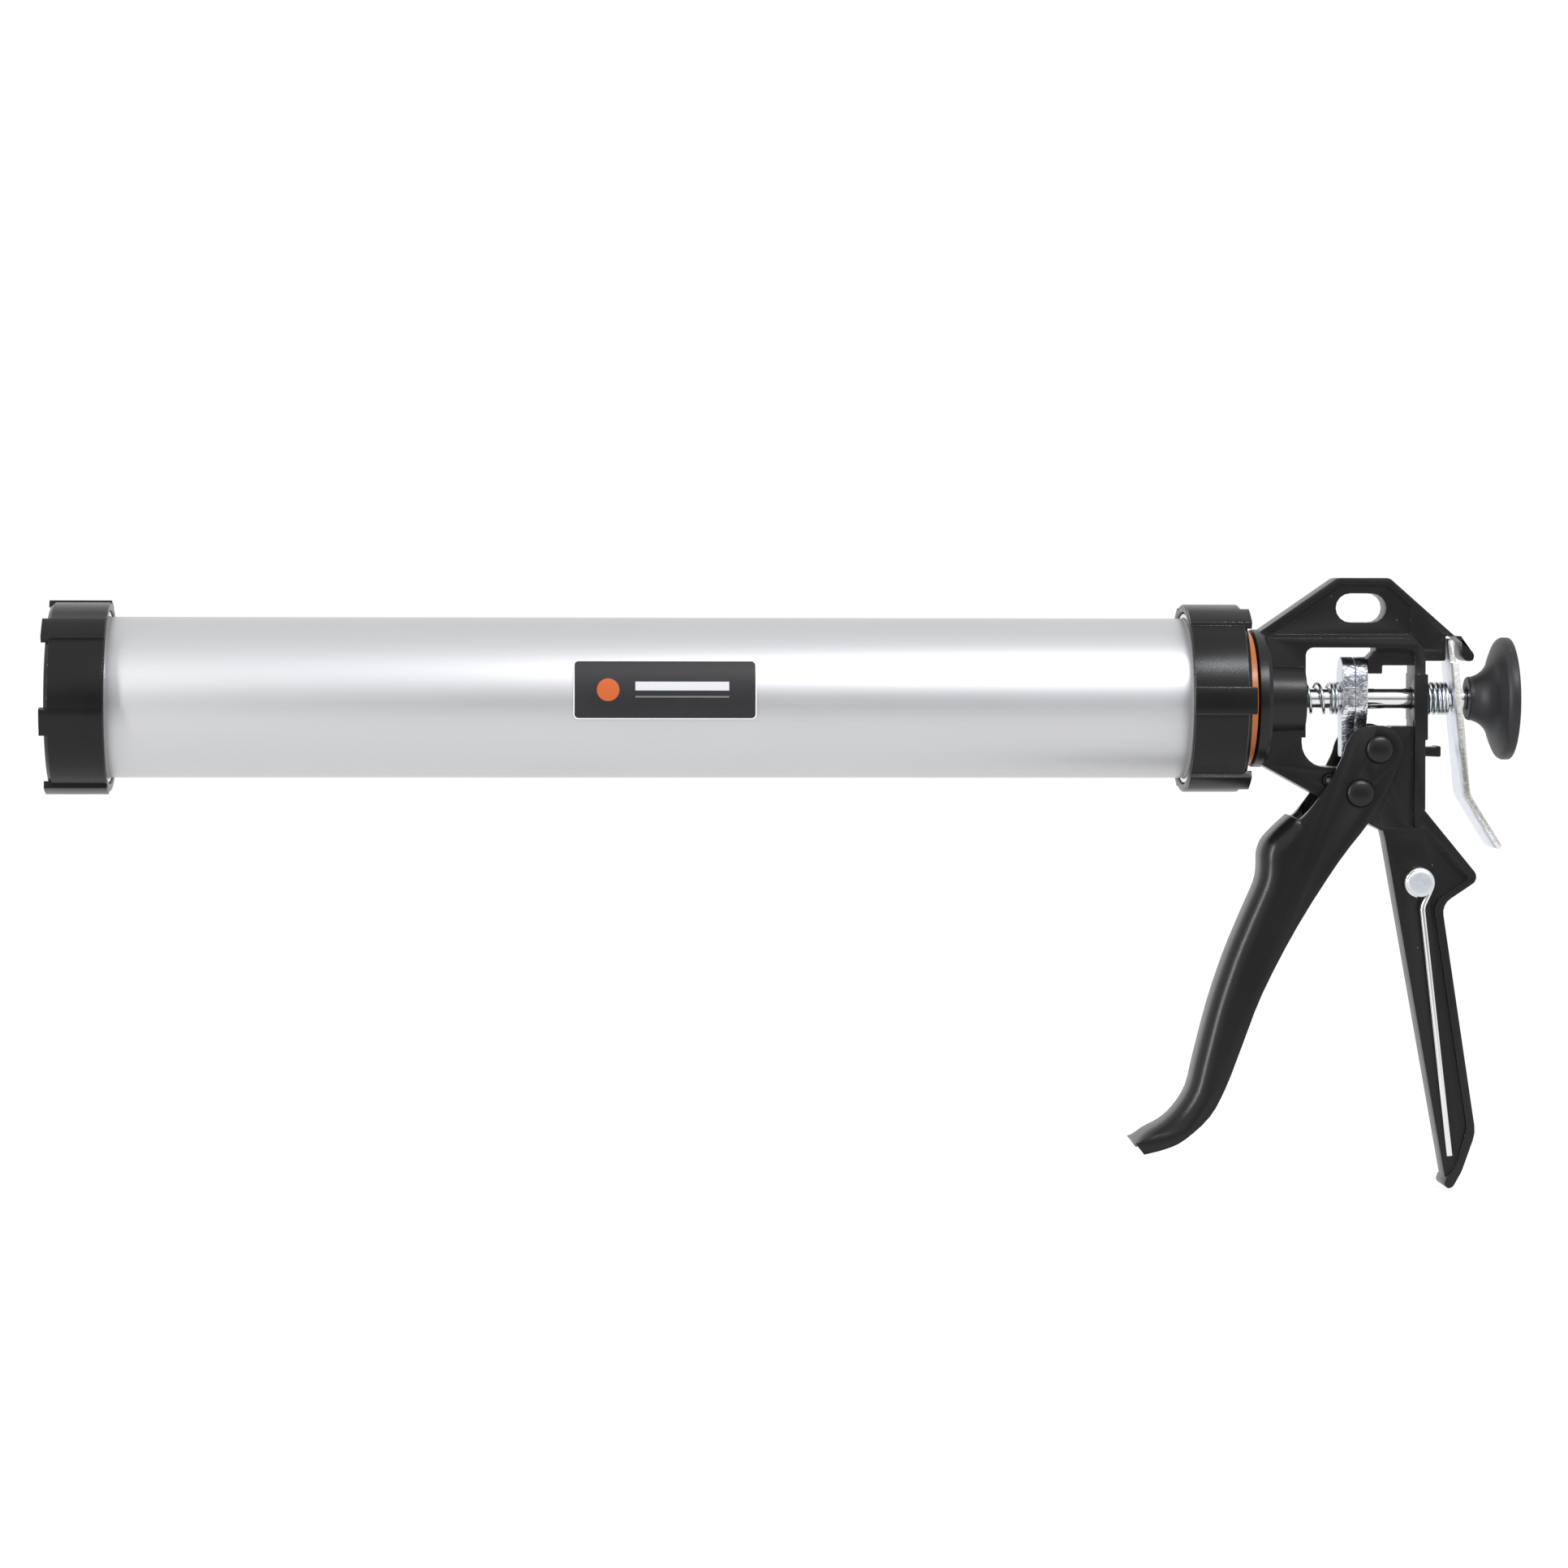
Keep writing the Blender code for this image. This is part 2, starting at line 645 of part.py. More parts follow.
def lobes(name, high, low, turn):
    """The grip lobes of a cap: short arcs of a ring that stand proud of it."""
    shapes = []
    for index in range(CAP_LOBES):
        middle = turn + index * 2 * math.pi / CAP_LOBES
        first = math.degrees(middle - LOBE_HALF_ANGLE)
        last = math.degrees(middle + LOBE_HALF_ANGLE)
        outer = arc((0, 0), CAP_RADIUS + LOBE_HEIGHT, first + 1, last - 1, 4)
        inner = arc((0, 0), CAP_BORE + CAP_WALL / 2, last, first, 4)
        half = (high - low) / 2
        at = (low + half, 0, 0)
        shapes.append(flat(f"{name}_{index}", [outer + inner], half, CUTTERS, FACING_X, at))
    return shapes


def build_rear_cap():
    profile = [
        (CAP_RADIUS - 0.0012, CAP_REAR_X),
        (CAP_RADIUS, CAP_REAR_X - 0.0012),
        (CAP_RADIUS, REAR_MOUTH_X + 0.0004),
        (CAP_RADIUS - 0.0004, REAR_MOUTH_X),
        (CAP_BORE + 0.0004, REAR_MOUTH_X),
        (CAP_BORE, REAR_MOUTH_X + 0.0004),
        (CAP_BORE, CAP_REAR_X - CAP_LIP),
        (NOSE_RADIUS + GAP, CAP_REAR_X - CAP_LIP),
        (NOSE_RADIUS + GAP, CAP_REAR_X),
    ]
    cap = turned("rear_cap", profile, ring=True)
    join(cap, *lobes("rear_lobe", CAP_REAR_X + LOBE_OVERHANG, REAR_MOUTH_X + 0.0002, math.pi))
    return dress(cap, BLACK_PLASTIC)


def build_front_cap():
    rim = NOZZLE_HOLE_RADIUS + NOZZLE_RIM
    profile = [
        (CAP_RADIUS - 0.0004, FRONT_MOUTH_X),
        (CAP_RADIUS, FRONT_MOUTH_X - 0.0004),
        (CAP_RADIUS, FRONT_CAP_X + 0.0012),
        (CAP_RADIUS - 0.0012, FRONT_CAP_X),
        (rim, FRONT_CAP_X),
        (rim, FRONT_CAP_X - 0.0010),
        (NOZZLE_HOLE_RADIUS, FRONT_CAP_X - 0.0010),
        (NOZZLE_HOLE_RADIUS, FRONT_WALL_X),
        (CAP_BORE, FRONT_WALL_X),
        (CAP_BORE, FRONT_MOUTH_X - 0.0004),
        (CAP_BORE + 0.0004, FRONT_MOUTH_X),
    ]
    cap = turned("front_cap", profile, ring=True)
    turn = math.pi + FRONT_LOBE_TURN
    join(cap, *lobes("front_lobe", FRONT_MOUTH_X - 0.0002, FRONT_CAP_X - LOBE_OVERHANG, turn))
    return dress(cap, BLACK_PLASTIC)


def build_tube():
    profile = ring_profile(TUBE_REAR_X, TUBE_FRONT_X, TUBE_RADIUS, TUBE_BORE)
    return dress(turned("barrel_tube", profile, ring=True, steps=48), ALUMINIUM)


def build_collars():
    """The threaded silver collars that the caps screw onto."""
    rear = ring_profile(TUBE_REAR_X, REAR_MOUTH_X + 0.0006, COLLAR_RADIUS, COLLAR_BORE, 0.0004)
    front = ring_profile(FRONT_MOUTH_X - 0.0006, TUBE_FRONT_X, COLLAR_RADIUS, COLLAR_BORE, 0.0004)
    dress(turned("rear_thread_collar", rear, ring=True), ALUMINIUM)
    dress(turned("front_thread_collar", front, ring=True), ALUMINIUM)


def build_seat():
    profile = ring_profile(SEAT_REAR_X, SEAT_FRONT_X, COLLAR_RADIUS, NOSE_RADIUS + GAP, 0.0003)
    return dress(turned("barrel_seat", profile, ring=True), ALUMINIUM)


def build_swivel_ring():
    profile = ring_profile(RING_REAR_X, RING_FRONT_X, SWIVEL_RING_RADIUS, NOSE_RADIUS + GAP, 0.0005)
    return dress(turned("swivel_ring", profile, ring=True), ORANGE_PLASTIC)


def build_retaining_ring():
    """A split ring in the nose's groove, its gap at the bottom."""
    inner = NOSE_RADIUS - GROOVE_DEPTH + GAP
    outline = arc((0, 0), RETAINER_RADIUS, -70, 250, 36) + arc((0, 0), inner, 250, -70, 36)
    half = RETAINER_THICKNESS / 2
    at = (RETAINER_REAR_X - half, 0, 0)
    return dress(flat("retaining_ring", [outline], half, PARTS, FACING_X, at), ZINC)


def build_label():
    """A rounded rectangle of film that follows the tube's round side."""
    inner = TUBE_RADIUS + GAP
    profile = ring_profile(LABEL_LENGTH, -LABEL_LENGTH, inner + LABEL_THICKNESS, inner)
    label = turned("barrel_label", profile, at=(LABEL_CENTRE_X, 0, 0), ring=True, steps=96)
    half_length = LABEL_LENGTH / 2
    half_height = LABEL_HEIGHT / 2
    corners = [
        (-half_length, -half_height, 0.0015),
        (half_length, -half_height, 0.0015),
        (half_length, half_height, 0.0015),
        (-half_length, half_height, 0.0015),
    ]
    turn = (QUARTER - LABEL_TILT, 0, 0)
    reach = TUBE_RADIUS
    at = (LABEL_CENTRE_X, -reach * math.cos(LABEL_TILT), reach * math.sin(LABEL_TILT))
    outline = flat("label_outline", [rounded(corners)], 0.0080, CUTTERS, turn, at)
    boolean(label, outline, "INTERSECT")
    return dress(label, LABEL_FILM)


# ---------------------------------------------------------------- plunger


def build_plunger():
    blind = -KNOB_BACK
    dress(turned("plunger_rod", solid_profile(blind - GAP, ROD_FRONT_X, ROD_RADIUS, 0.0004)), BRIGHT_STEEL)
    flare = [
        (0, 0),
        (KNOB_RADIUS - 0.0006, 0),
        (KNOB_RADIUS, -0.0006),
        (KNOB_RADIUS, -KNOB_BACK + 0.0004),
        (KNOB_RADIUS - 0.0010, -0.0043),
        (0.0157, -0.0056),
        (0.0125, -0.0067),
        (0.0099, -0.0083),
        (0.0081, -0.0104),
        (KNOB_NECK_RADIUS, -0.0128),
        (KNOB_NECK_RADIUS, -KNOB_LENGTH + 0.0005),
        (KNOB_NECK_RADIUS - 0.0005, -KNOB_LENGTH),
        (0, -KNOB_LENGTH),
    ]
    knob = turned("pull_knob", flare)
    cut(knob, drill("knob_hole", "X", (0, 0, 0), ROD_HOLE, blind, -0.03))
    dress(knob, BLACK_PLASTIC)
    bore = ROD_HOLE
    piston_rear = PISTON_FRONT_X + PISTON_THICKNESS
    piston = [
        (TUBE_BORE - 0.0030, piston_rear),
        (TUBE_BORE - 0.0030, piston_rear - 0.0040),
        (TUBE_BORE - 0.0005, piston_rear - 0.0050),
        (TUBE_BORE - 0.0005, PISTON_FRONT_X + 0.0012),
        (TUBE_BORE - 0.0017, PISTON_FRONT_X),
        (bore, PISTON_FRONT_X),
        (bore, piston_rear),
    ]
    dress(turned("piston_disc", piston, ring=True), WHITE_PLASTIC)
    seal_front = piston_rear + GAP
    seal_rear = seal_front + SEAL_THICKNESS
    seal = [
        (TUBE_BORE - 0.0030, seal_rear),
        (TUBE_BORE - 0.0003, seal_front + 0.0010),
        (TUBE_BORE - 0.0003, seal_front),
        (bore, seal_front),
        (bore, seal_rear),
    ]
    dress(turned("piston_seal", seal, ring=True), RUBBER)
    backing_front = seal_rear + GAP
    backing_rear = backing_front + BACKING_THICKNESS
    backing = ring_profile(backing_rear, backing_front, TUBE_BORE - 0.0050, bore)
    dress(turned("piston_backing_plate", backing, ring=True), ZINC)
    nut_front = backing_rear + GAP
    half = NUT_THICKNESS / 2
    hexagon = arc((0, 0), NUT_RADIUS, 0, 300, 5)
    hole = arc((0, 0), bore, 0, 345, 23)
    nut = flat("piston_nut", [hexagon, hole], half, PARTS, FACING_X, (nut_front + half, 0, 0))
    dress(nut, ZINC)


# ---------------------------------------------------------------- drive


def drive_plate_outline():
    wide = DRIVE_PLATE_HALF_WIDTH
    narrow = DRIVE_TAIL_HALF_WIDTH
    return rounded(
        [
            (-wide, DRIVE_PLATE_TOP_Z, 0.0070),
            (-wide, -0.0030, 0.0050),
            (-narrow, -0.0090, 0.0050),
            (-narrow, DRIVE_PLATE_FOOT_Z, 0.0012),
            (narrow, DRIVE_PLATE_FOOT_Z, 0.0012),
            (narrow, -0.0090, 0.0050),
            (wide, -0.0030, 0.0050),
            (wide, DRIVE_PLATE_TOP_Z, 0.0070),
        ]
    )


def build_drive():
    hole = arc((0, 0), ROD_HOLE, 0, 345, 23)
    half = DRIVE_PLATE_THICKNESS / 2
    rear_x = DRIVE_PLATE_REAR_X - half
    front_x = rear_x - DRIVE_PLATE_THICKNESS - GAP
    for name, x in (("drive_plate_rear", rear_x), ("drive_plate_front", front_x)):
        plate = flat(name, [drive_plate_outline(), hole], half, PARTS, FACING_X, (x, 0, 0))
        dress(plate, ZINC)
    spring_front = HUB_END_X - SPRING_POCKET_DEPTH + DRIVE_SPRING_WIRE + GAP
    spring_rear = front_x - half - DRIVE_SPRING_WIRE - GAP
    pitch = DRIVE_SPRING_WIRE * CLOSED_PITCH
    coil = helix(spring_front, spring_rear, DRIVE_SPRING_RADIUS, DRIVE_SPRING_TURNS, pitch)
    dress(wire("drive_spring", coil, DRIVE_SPRING_WIRE), SPRING_WIRE)


def release_line():
    """The middle of the release plate's sheet, from its top to its tip."""
    top = Vector(RELEASE_TOP)
    bend = Vector((top.x + math.tan(RELEASE_LEAN) * (top.y - RELEASE_BEND_Z), RELEASE_BEND_Z))
    tip = Vector(RELEASE_TIP)
    return [top, bend, tip]


def build_release():
    top, bend, tip = release_line()
    half = RELEASE_THICKNESS / 2
    upper = (bend - top).normalized()
    lower = (tip - bend).normalized()
    side_upper = Vector((-upper.y, upper.x))
    side_lower = Vector((-lower.y, lower.x))
    side_bend = (side_upper + side_lower).normalized()
    outline = [
        (*(top - side_upper * half), half * 0.9),
        (*(bend - side_bend * half), 0.0040),
        (*(tip - side_lower * half), half * 0.9),
        (*(tip + side_lower * half), half * 0.9),
        (*(bend + side_bend * half), 0.0060),
        (*(top + side_upper * half), half * 0.9),
    ]
    plate = flat("release_plate", [rounded(outline)], RELEASE_HALF_WIDTH)
    for name, sign in (("shoulder_near", -1), ("shoulder_far", 1)):
        corners = [
            (-0.0400, RELEASE_SHOULDER_Z, 0),
            (0, RELEASE_SHOULDER_Z, 0),
            (0, 0.0300, 0),
            (-0.0400, 0.0300, 0),
        ]
        middle = sign * (RELEASE_TONGUE_HALF + 0.0100)
        cut(plate, flat(name, [rounded(corners)], 0.0100, CUTTERS, at=(0, middle, 0)))
    cut(plate, drill("release_hole", "X", (0, 0, 0), ROD_RADIUS + 0.0009))
    dress(plate, ZINC)
    spring_x = STRUT_REAR_X + 0.0007 + RELEASE_SPRING_WIRE + GAP
    reach = RELEASE_SPRING_RADIUS + RELEASE_SPRING_WIRE
    plate_x = top.x + math.tan(RELEASE_LEAN) * (top.y - reach) - half / math.cos(RELEASE_LEAN)
    end_x = plate_x - RELEASE_SPRING_WIRE - GAP
    pitch = RELEASE_SPRING_WIRE * CLOSED_PITCH
    coil = helix(spring_x, end_x, RELEASE_SPRING_RADIUS, RELEASE_SPRING_TURNS, pitch)
    dress(wire("release_spring", coil, RELEASE_SPRING_WIRE), SPRING_WIRE)


# ---------------------------------------------------------------- trigger

LIP = (-0.0730, -0.0380)
FRONT_EDGE = [
    LIP,
    (-0.0756, -0.0403),
    (-0.0786, -0.0432),
    (-0.0813, -0.0464),
    (-0.0827, -0.0505),
    (-0.0828, -0.0550),
    (-0.0837, -0.0602),
    (-0.0884, -0.0710),
    (-0.0936, -0.0836),
    (-0.0989, -0.0993),
    (-0.1034, -0.1165),
    (-0.1060, -0.1269),
    (-0.1101, -0.1335),
    (-0.1146, -0.1377),
    (-0.1199, -0.1407),
    (-0.1241, -0.1442),
]
REAR_EDGE = [
    (-0.1212, -0.1478),
    (-0.1139, -0.1459),
    (-0.1080, -0.1430),
    (-0.0999, -0.1356),
    (-0.0946, -0.1260),
    (-0.0894, -0.1126),
    (-0.0827, -0.0954),
    (-0.0714, -0.0738),
    (-0.0580, -0.0529),
    (-0.0478, -0.0396),
    (-0.0414, -0.0280),
    (-0.0384, -0.0212),
]
HEAD_FRONT = [
    (-0.0500, -0.0090),
    (-0.0532, -0.0110),
    (-0.0555, -0.0146),
    (-0.0566, -0.0182),
    (-0.0584, -0.0220),
    (-0.0609, -0.0269),
    (-0.0650, -0.0328),
    (-0.0686, -0.0374),
    (-0.0704, -0.0390),
]


def build_trigger():
    head = arc(DRIVE_PIN, TRIGGER_HEAD_RADIUS, -25, 95, 8)
    front = through(FRONT_EDGE)
    before = head + through(HEAD_FRONT)
    after = through(REAR_EDGE)
    outer = [
        (y, before + inset(front, 0, depth) + after)
        for y, depth in bent_layers(TRIGGER_HALF, TRIGGER_BEND)
    ]
    trigger = layered("trigger", outer)
    first_way = Vector((LIP[0] - FRONT_EDGE[1][0], LIP[1] - FRONT_EDGE[1][1])).normalized() * 0.004
    last_way = Vector((-0.0049, -0.0033))
    outer_room = [(-0.1000, -0.1700), (-0.0200, -0.1700), (-0.0200, 0.0050), (-0.0680, 0.0050)]
    inner = []
    for y, depth in bent_layers(TRIGGER_HALF - TRIGGER_SHEET, TRIGGER_BEND - TRIGGER_SHEET):
        inside = inset(front, TRIGGER_SHEET, depth)
        opened = [(inside[0][0] + first_way.x, inside[0][1] + first_way.y)]
        beyond = [(inside[-1][0] + last_way.x, inside[-1][1] + last_way.y)]
        inner.append((y, opened + inside + beyond + outer_room))
    cut(
        trigger,
        layered("trigger_hollow", inner, CUTTERS),
        drill("trigger_pivot_hole", "Y", across(PIVOT), PIVOT_PIN_RADIUS + PIN_PLAY, steps=24),
        drill("trigger_pin_hole", "Y", across(DRIVE_PIN), DRIVE_PIN_RADIUS + PIN_PLAY, steps=24),
    )
    return dress(trigger, TRIGGER_PAINT)


def domed_rivet(name, centre, radius, reach, material):
    """A pin with a low dome on each end that overhangs the sheet it holds."""
    under = reach + GAP
    edge = under + RIVET_HEAD_HEIGHT * 0.3
    crown = under + RIVET_HEAD_HEIGHT
    profile = [(0, crown), (RIVET_HEAD_RADIUS * 0.45, crown - 0.0002)]
    profile += [(RIVET_HEAD_RADIUS * 0.8, crown - 0.0007), (RIVET_HEAD_RADIUS, edge)]
    profile += [(RIVET_HEAD_RADIUS, under), (radius, under)]
    profile += [(r, -h) for r, h in reversed(profile)]
    return dress(turned(name, profile, along="Y", at=across(centre), steps=24), material)


def build_pins():
    domed_rivet("trigger_pivot_rivet", PIVOT, PIVOT_PIN_RADIUS, TRIGGER_HALF, TRIGGER_PAINT)
    domed_rivet("drive_pin", DRIVE_PIN, DRIVE_PIN_RADIUS, TRIGGER_HALF, TRIGGER_PAINT)
    reach = BAND_HALF + 0.0004
    profile = ring_profile(reach, -reach, STOP_PIN_RADIUS, STOP_PIN_BORE, 0.0003)
    pin = turned("trigger_stop_pin", profile, along="Y", at=across(STOP_PIN), ring=True, steps=24)
    dress(pin, BLACK_PAINT)


# ---------------------------------------------------------------- foil piercer


def piercer_shank():
    return PIERCER_LOOP_RADIUS - PIERCER_WIRE_RADIUS - GAP


def piercer_depth():
    """How far the wire's middle stands from the handle's middle."""
    return HANDLE_HALF + GAP + PIERCER_WIRE_RADIUS


def build_piercer():
    y = -piercer_depth()
    centre = Vector(PIERCER_RIVET)
    knee = Vector(PIERCER_KNEE)
    away = knee - centre
    lead = math.degrees(math.atan2(away.y, away.x))
    leave = lead + math.degrees(math.acos(PIERCER_LOOP_RADIUS / away.length))
    loop = arc(PIERCER_RIVET, PIERCER_LOOP_RADIUS, 258, leave, 20)
    end = Vector(PIERCER_END)
    run = (end - knee).normalized()
    corner = through([loop[-1], tuple(knee - Vector((-0.0006, -0.0013))), tuple(knee + run * 0.0014)], 3)
    line = loop + corner[1:] + [tuple(end)]
    points = [(x, y, z) for x, z in line]
    dress(wire("foil_piercer", points, PIERCER_WIRE_RADIUS), BRIGHT_STEEL)
    shank = piercer_shank()
    under = piercer_depth() + PIERCER_WIRE_RADIUS + GAP
    top = under + PIERCER_HEAD_HEIGHT
    back = HANDLE_HALF + GAP
    profile = [
        (0, back + 0.0010),
        (0.0034, back + 0.0010),
        (0.0040, back + 0.0005),
        (0.0040, back),
        (shank, back),
        (shank, -under),
        (PIERCER_HEAD_RADIUS, -under),
        (PIERCER_HEAD_RADIUS, -top + 0.0003),
        (PIERCER_HEAD_RADIUS - 0.0003, -top),
        (0, -top),
    ]
    rivet = turned("piercer_rivet", profile, along="Y", at=across(PIERCER_RIVET), steps=32)
    dress(rivet, ZINC)


build_frame()
build_tube()
build_collars()
build_rear_cap()
build_front_cap()
build_seat()
build_swivel_ring()
build_retaining_ring()
build_label()
build_plunger()
build_drive()
build_release()
build_trigger()
build_pins()
build_piercer()
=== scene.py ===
"""A closed-barrel caulking gun for foil packs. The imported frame's pieces are modelled again with their
rounded edges and fine wires, and get their paint, plating and plastic."""

import math

import bpy
from mathutils import Matrix, Vector


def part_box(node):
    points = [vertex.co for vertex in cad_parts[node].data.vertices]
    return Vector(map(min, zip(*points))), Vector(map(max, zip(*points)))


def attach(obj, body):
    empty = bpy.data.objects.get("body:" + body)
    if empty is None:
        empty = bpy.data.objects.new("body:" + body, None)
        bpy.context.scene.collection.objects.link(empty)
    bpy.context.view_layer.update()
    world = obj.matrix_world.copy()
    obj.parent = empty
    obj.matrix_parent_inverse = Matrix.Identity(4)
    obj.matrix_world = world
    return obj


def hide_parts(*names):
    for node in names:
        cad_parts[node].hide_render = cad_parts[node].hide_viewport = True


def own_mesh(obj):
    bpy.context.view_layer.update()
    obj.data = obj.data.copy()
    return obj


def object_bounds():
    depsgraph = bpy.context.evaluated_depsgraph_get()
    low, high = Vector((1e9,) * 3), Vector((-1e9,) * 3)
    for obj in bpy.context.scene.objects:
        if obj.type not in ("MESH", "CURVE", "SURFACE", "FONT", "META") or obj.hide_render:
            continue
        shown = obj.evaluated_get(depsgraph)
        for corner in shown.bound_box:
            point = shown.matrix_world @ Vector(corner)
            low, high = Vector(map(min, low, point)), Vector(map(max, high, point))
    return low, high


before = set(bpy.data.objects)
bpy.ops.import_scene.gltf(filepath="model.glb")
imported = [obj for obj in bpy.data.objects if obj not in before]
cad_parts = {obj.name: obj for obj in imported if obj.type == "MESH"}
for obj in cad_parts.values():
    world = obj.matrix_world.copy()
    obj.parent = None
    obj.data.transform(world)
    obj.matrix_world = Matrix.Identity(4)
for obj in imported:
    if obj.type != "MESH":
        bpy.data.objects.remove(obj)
cad_low, cad_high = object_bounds()
QUARTER = math.pi / 2


# ---------------------------------------------------------------- shader maths


class Flow:
    """One value in a node tree; arithmetic on it adds Math nodes."""

    def __init__(self, wiring, socket):
        self.wiring = wiring
        self.socket = socket

    def maths(self, operation, *values):
        return self.wiring.node("ShaderNodeMath", {"operation": operation}, values)

    def __add__(self, other):
        return self.maths("ADD", self, other)

    __radd__ = __add__

    def __sub__(self, other):
        return self.maths("SUBTRACT", self, other)

    def __rsub__(self, other):
        return self.maths("SUBTRACT", other, self)

    def __mul__(self, other):
        return self.maths("MULTIPLY", self, other)

    __rmul__ = __mul__

    def __truediv__(self, other):
        return self.maths("DIVIDE", self, other)

    def above(self, level, softness):
        """0 below the level, 1 above it, with a soft step between."""
        settings = {"interpolation_type": "SMOOTHSTEP"}
        inputs = {"Value": self, "From Min": level - softness, "From Max": level + softness}
        return self.wiring.node("ShaderNodeMapRange", settings, inputs)

    def size(self):
        return self.maths("ABSOLUTE", self)

    def over(self, floor):
        """How far it is over the floor, and 0 below it."""
        return self.maths("MAXIMUM", self - floor, 0.0)

    def root(self):
        return self.maths("SQRT", self)


class Wiring:
    """Adds nodes to one node tree."""

    def __init__(self, tree):
        self.tree = tree

    def fill(self, socket, value):
        if isinstance(value, Flow):
            self.tree.links.new(value.socket, socket)
        elif isinstance(value, tuple) and len(value) == 3 and socket.type == "RGBA":
            socket.default_value = (*value, 1)
        else:
            socket.default_value = value

    def node(self, kind, settings=None, inputs=(), output=0):
        made = self.tree.nodes.new(kind)
        for key, value in (settings or {}).items():
            setattr(made, key, value)
        pairs = inputs.items() if isinstance(inputs, dict) else enumerate(inputs)
        for key, value in pairs:
            self.fill(made.inputs[key], value)
        return None if output is None else Flow(self, made.outputs[output])

    def axes(self, vector):
        """The X, Y and Z of a vector."""
        split = self.node("ShaderNodeSeparateXYZ", {}, {"Vector": vector})
        return [Flow(self, output) for output in split.socket.node.outputs]


class Finish(Wiring):
    """A Principled material whose details are built from nodes on Object coordinates."""

    def __init__(self, name, colour, roughness, metallic=0.0, **constants):
        self.material = bpy.data.materials.new(name)
        self.material.use_nodes = True
        super().__init__(self.material.node_tree)
        self.shader = self.tree.nodes["Principled BSDF"]
        self.set("Base Color", colour)
        self.set("Roughness", roughness)
        self.set("Metallic", metallic)
        for socket, value in constants.items():
            self.set(socket.replace("_", " "), value)
        self.place = self.node("ShaderNodeTexCoord", output="Object")

    def set(self, socket, value):
        self.fill(self.shader.inputs[socket], value)

    def mix(self, share, one, other):
        """A colour between two colours."""
        settings = {"data_type": "RGBA"}
        return self.node("ShaderNodeMix", settings, {0: share, 6: one, 7: other}, output=2)

    def stretch(self, x, y, z, turn=(0, 0, 0)):
        """The place with each axis scaled, so that a pattern runs along one of them."""
        inputs = {"Vector": self.place, "Scale": (x, y, z), "Rotation": turn}
        return self.node("ShaderNodeMapping", {}, inputs)

    def noise(self, scale, detail=2.0, rough=0.5, at=None, distortion=0.0):
        inputs = {"Vector": at or self.place, "Scale": scale, "Detail": detail, "Roughness": rough}
        inputs["Distortion"] = distortion
        return self.node("ShaderNodeTexNoise", {}, inputs)

    def cells(self, scale, at=None, output="Distance"):
        inputs = {"Vector": at or self.place, "Scale": scale}
        return self.node("ShaderNodeTexVoronoi", {}, inputs, output)

    def specks(self, scale, radius, density):
        """Small round dots scattered over the surface, fewer with a lower density."""
        dot = 1 - self.cells(scale).above(radius, radius * 0.5)
        red = self.node("ShaderNodeSeparateColor", {}, {"Color": self.cells(scale, output="Color")})
        return dot * (1 - red.above(density, 0.001))

    def relief(self, height, distance, strength=1.0):
        inputs = {"Height": height, "Distance": distance, "Strength": strength}
        self.set("Normal", self.node("ShaderNodeBump", {}, inputs))


# ---------------------------------------------------------------- finishes


def powder_coat(name, roughness=0.31, gloss=0.34, index=1.5):
    """Black powder coat on a die casting: a fine orange peel, dust specks and slightly uneven gloss."""
    paint = Finish(name, (0.008, 0.008, 0.009), roughness, Specular_IOR_Level=gloss, IOR=index)
    cloud = paint.noise(60, 3)
    peel = paint.noise(1500, 2, 0.6)
    dust = paint.specks(420, 0.10, 0.035)
    grey = paint.mix(cloud, (0.0040, 0.0040, 0.0045), (0.0066, 0.0066, 0.0075))
    paint.set("Base Color", paint.mix(dust * 0.55, grey, (0.16, 0.16, 0.17)))
    paint.set("Roughness", roughness - 0.05 + cloud * 0.10 + dust * 0.2)
    paint.relief(peel + dust * 0.5, 0.00006, 0.5)
    return paint.material


def trigger_enamel(name, gloss=0.30, index=1.5):
    """Smoother semi-gloss paint on pressed sheet, with soft ripples where the die drew it."""
    paint = Finish(name, (0.008, 0.008, 0.008), 0.30, Specular_IOR_Level=gloss, IOR=index)
    cloud = paint.noise(45, 3)
    peel = paint.noise(900, 2)
    ripple = paint.noise(140, 2)
    dust = paint.specks(300, 0.09, 0.02)
    tone = paint.mix(cloud, (0.0046, 0.0046, 0.0047), (0.0070, 0.0068, 0.0072))
    paint.set("Base Color", paint.mix(dust * 0.4, tone, (0.14, 0.14, 0.14)))
    paint.set("Roughness", 0.24 + cloud * 0.08)
    paint.relief(peel * 0.35 + ripple, 0.00008, 0.4)
    return paint.material


def moulded_plastic(name, roughness, tone, gloss, index=1.5):
    """Black moulded plastic with a faint spark-eroded grain and fine dust."""
    plastic = Finish(name, (tone, tone, tone), roughness, Specular_IOR_Level=gloss, IOR=index)
    cloud = plastic.noise(70, 3)
    grain = plastic.noise(2600, 3, 0.7)
    dust = plastic.specks(520, 0.10, 0.03)
    grey = plastic.mix(cloud, (tone * 0.8, tone * 0.8, tone * 0.88), (tone * 1.2, tone * 1.2, tone * 1.33))
    plastic.set("Base Color", plastic.mix(dust * 0.5, grey, (0.18, 0.18, 0.2)))
    plastic.set("Roughness", roughness - 0.05 + cloud * 0.09 + grain * 0.06)
    plastic.relief(grain + cloud * 0.4, 0.00004, 0.5)
    return plastic.material


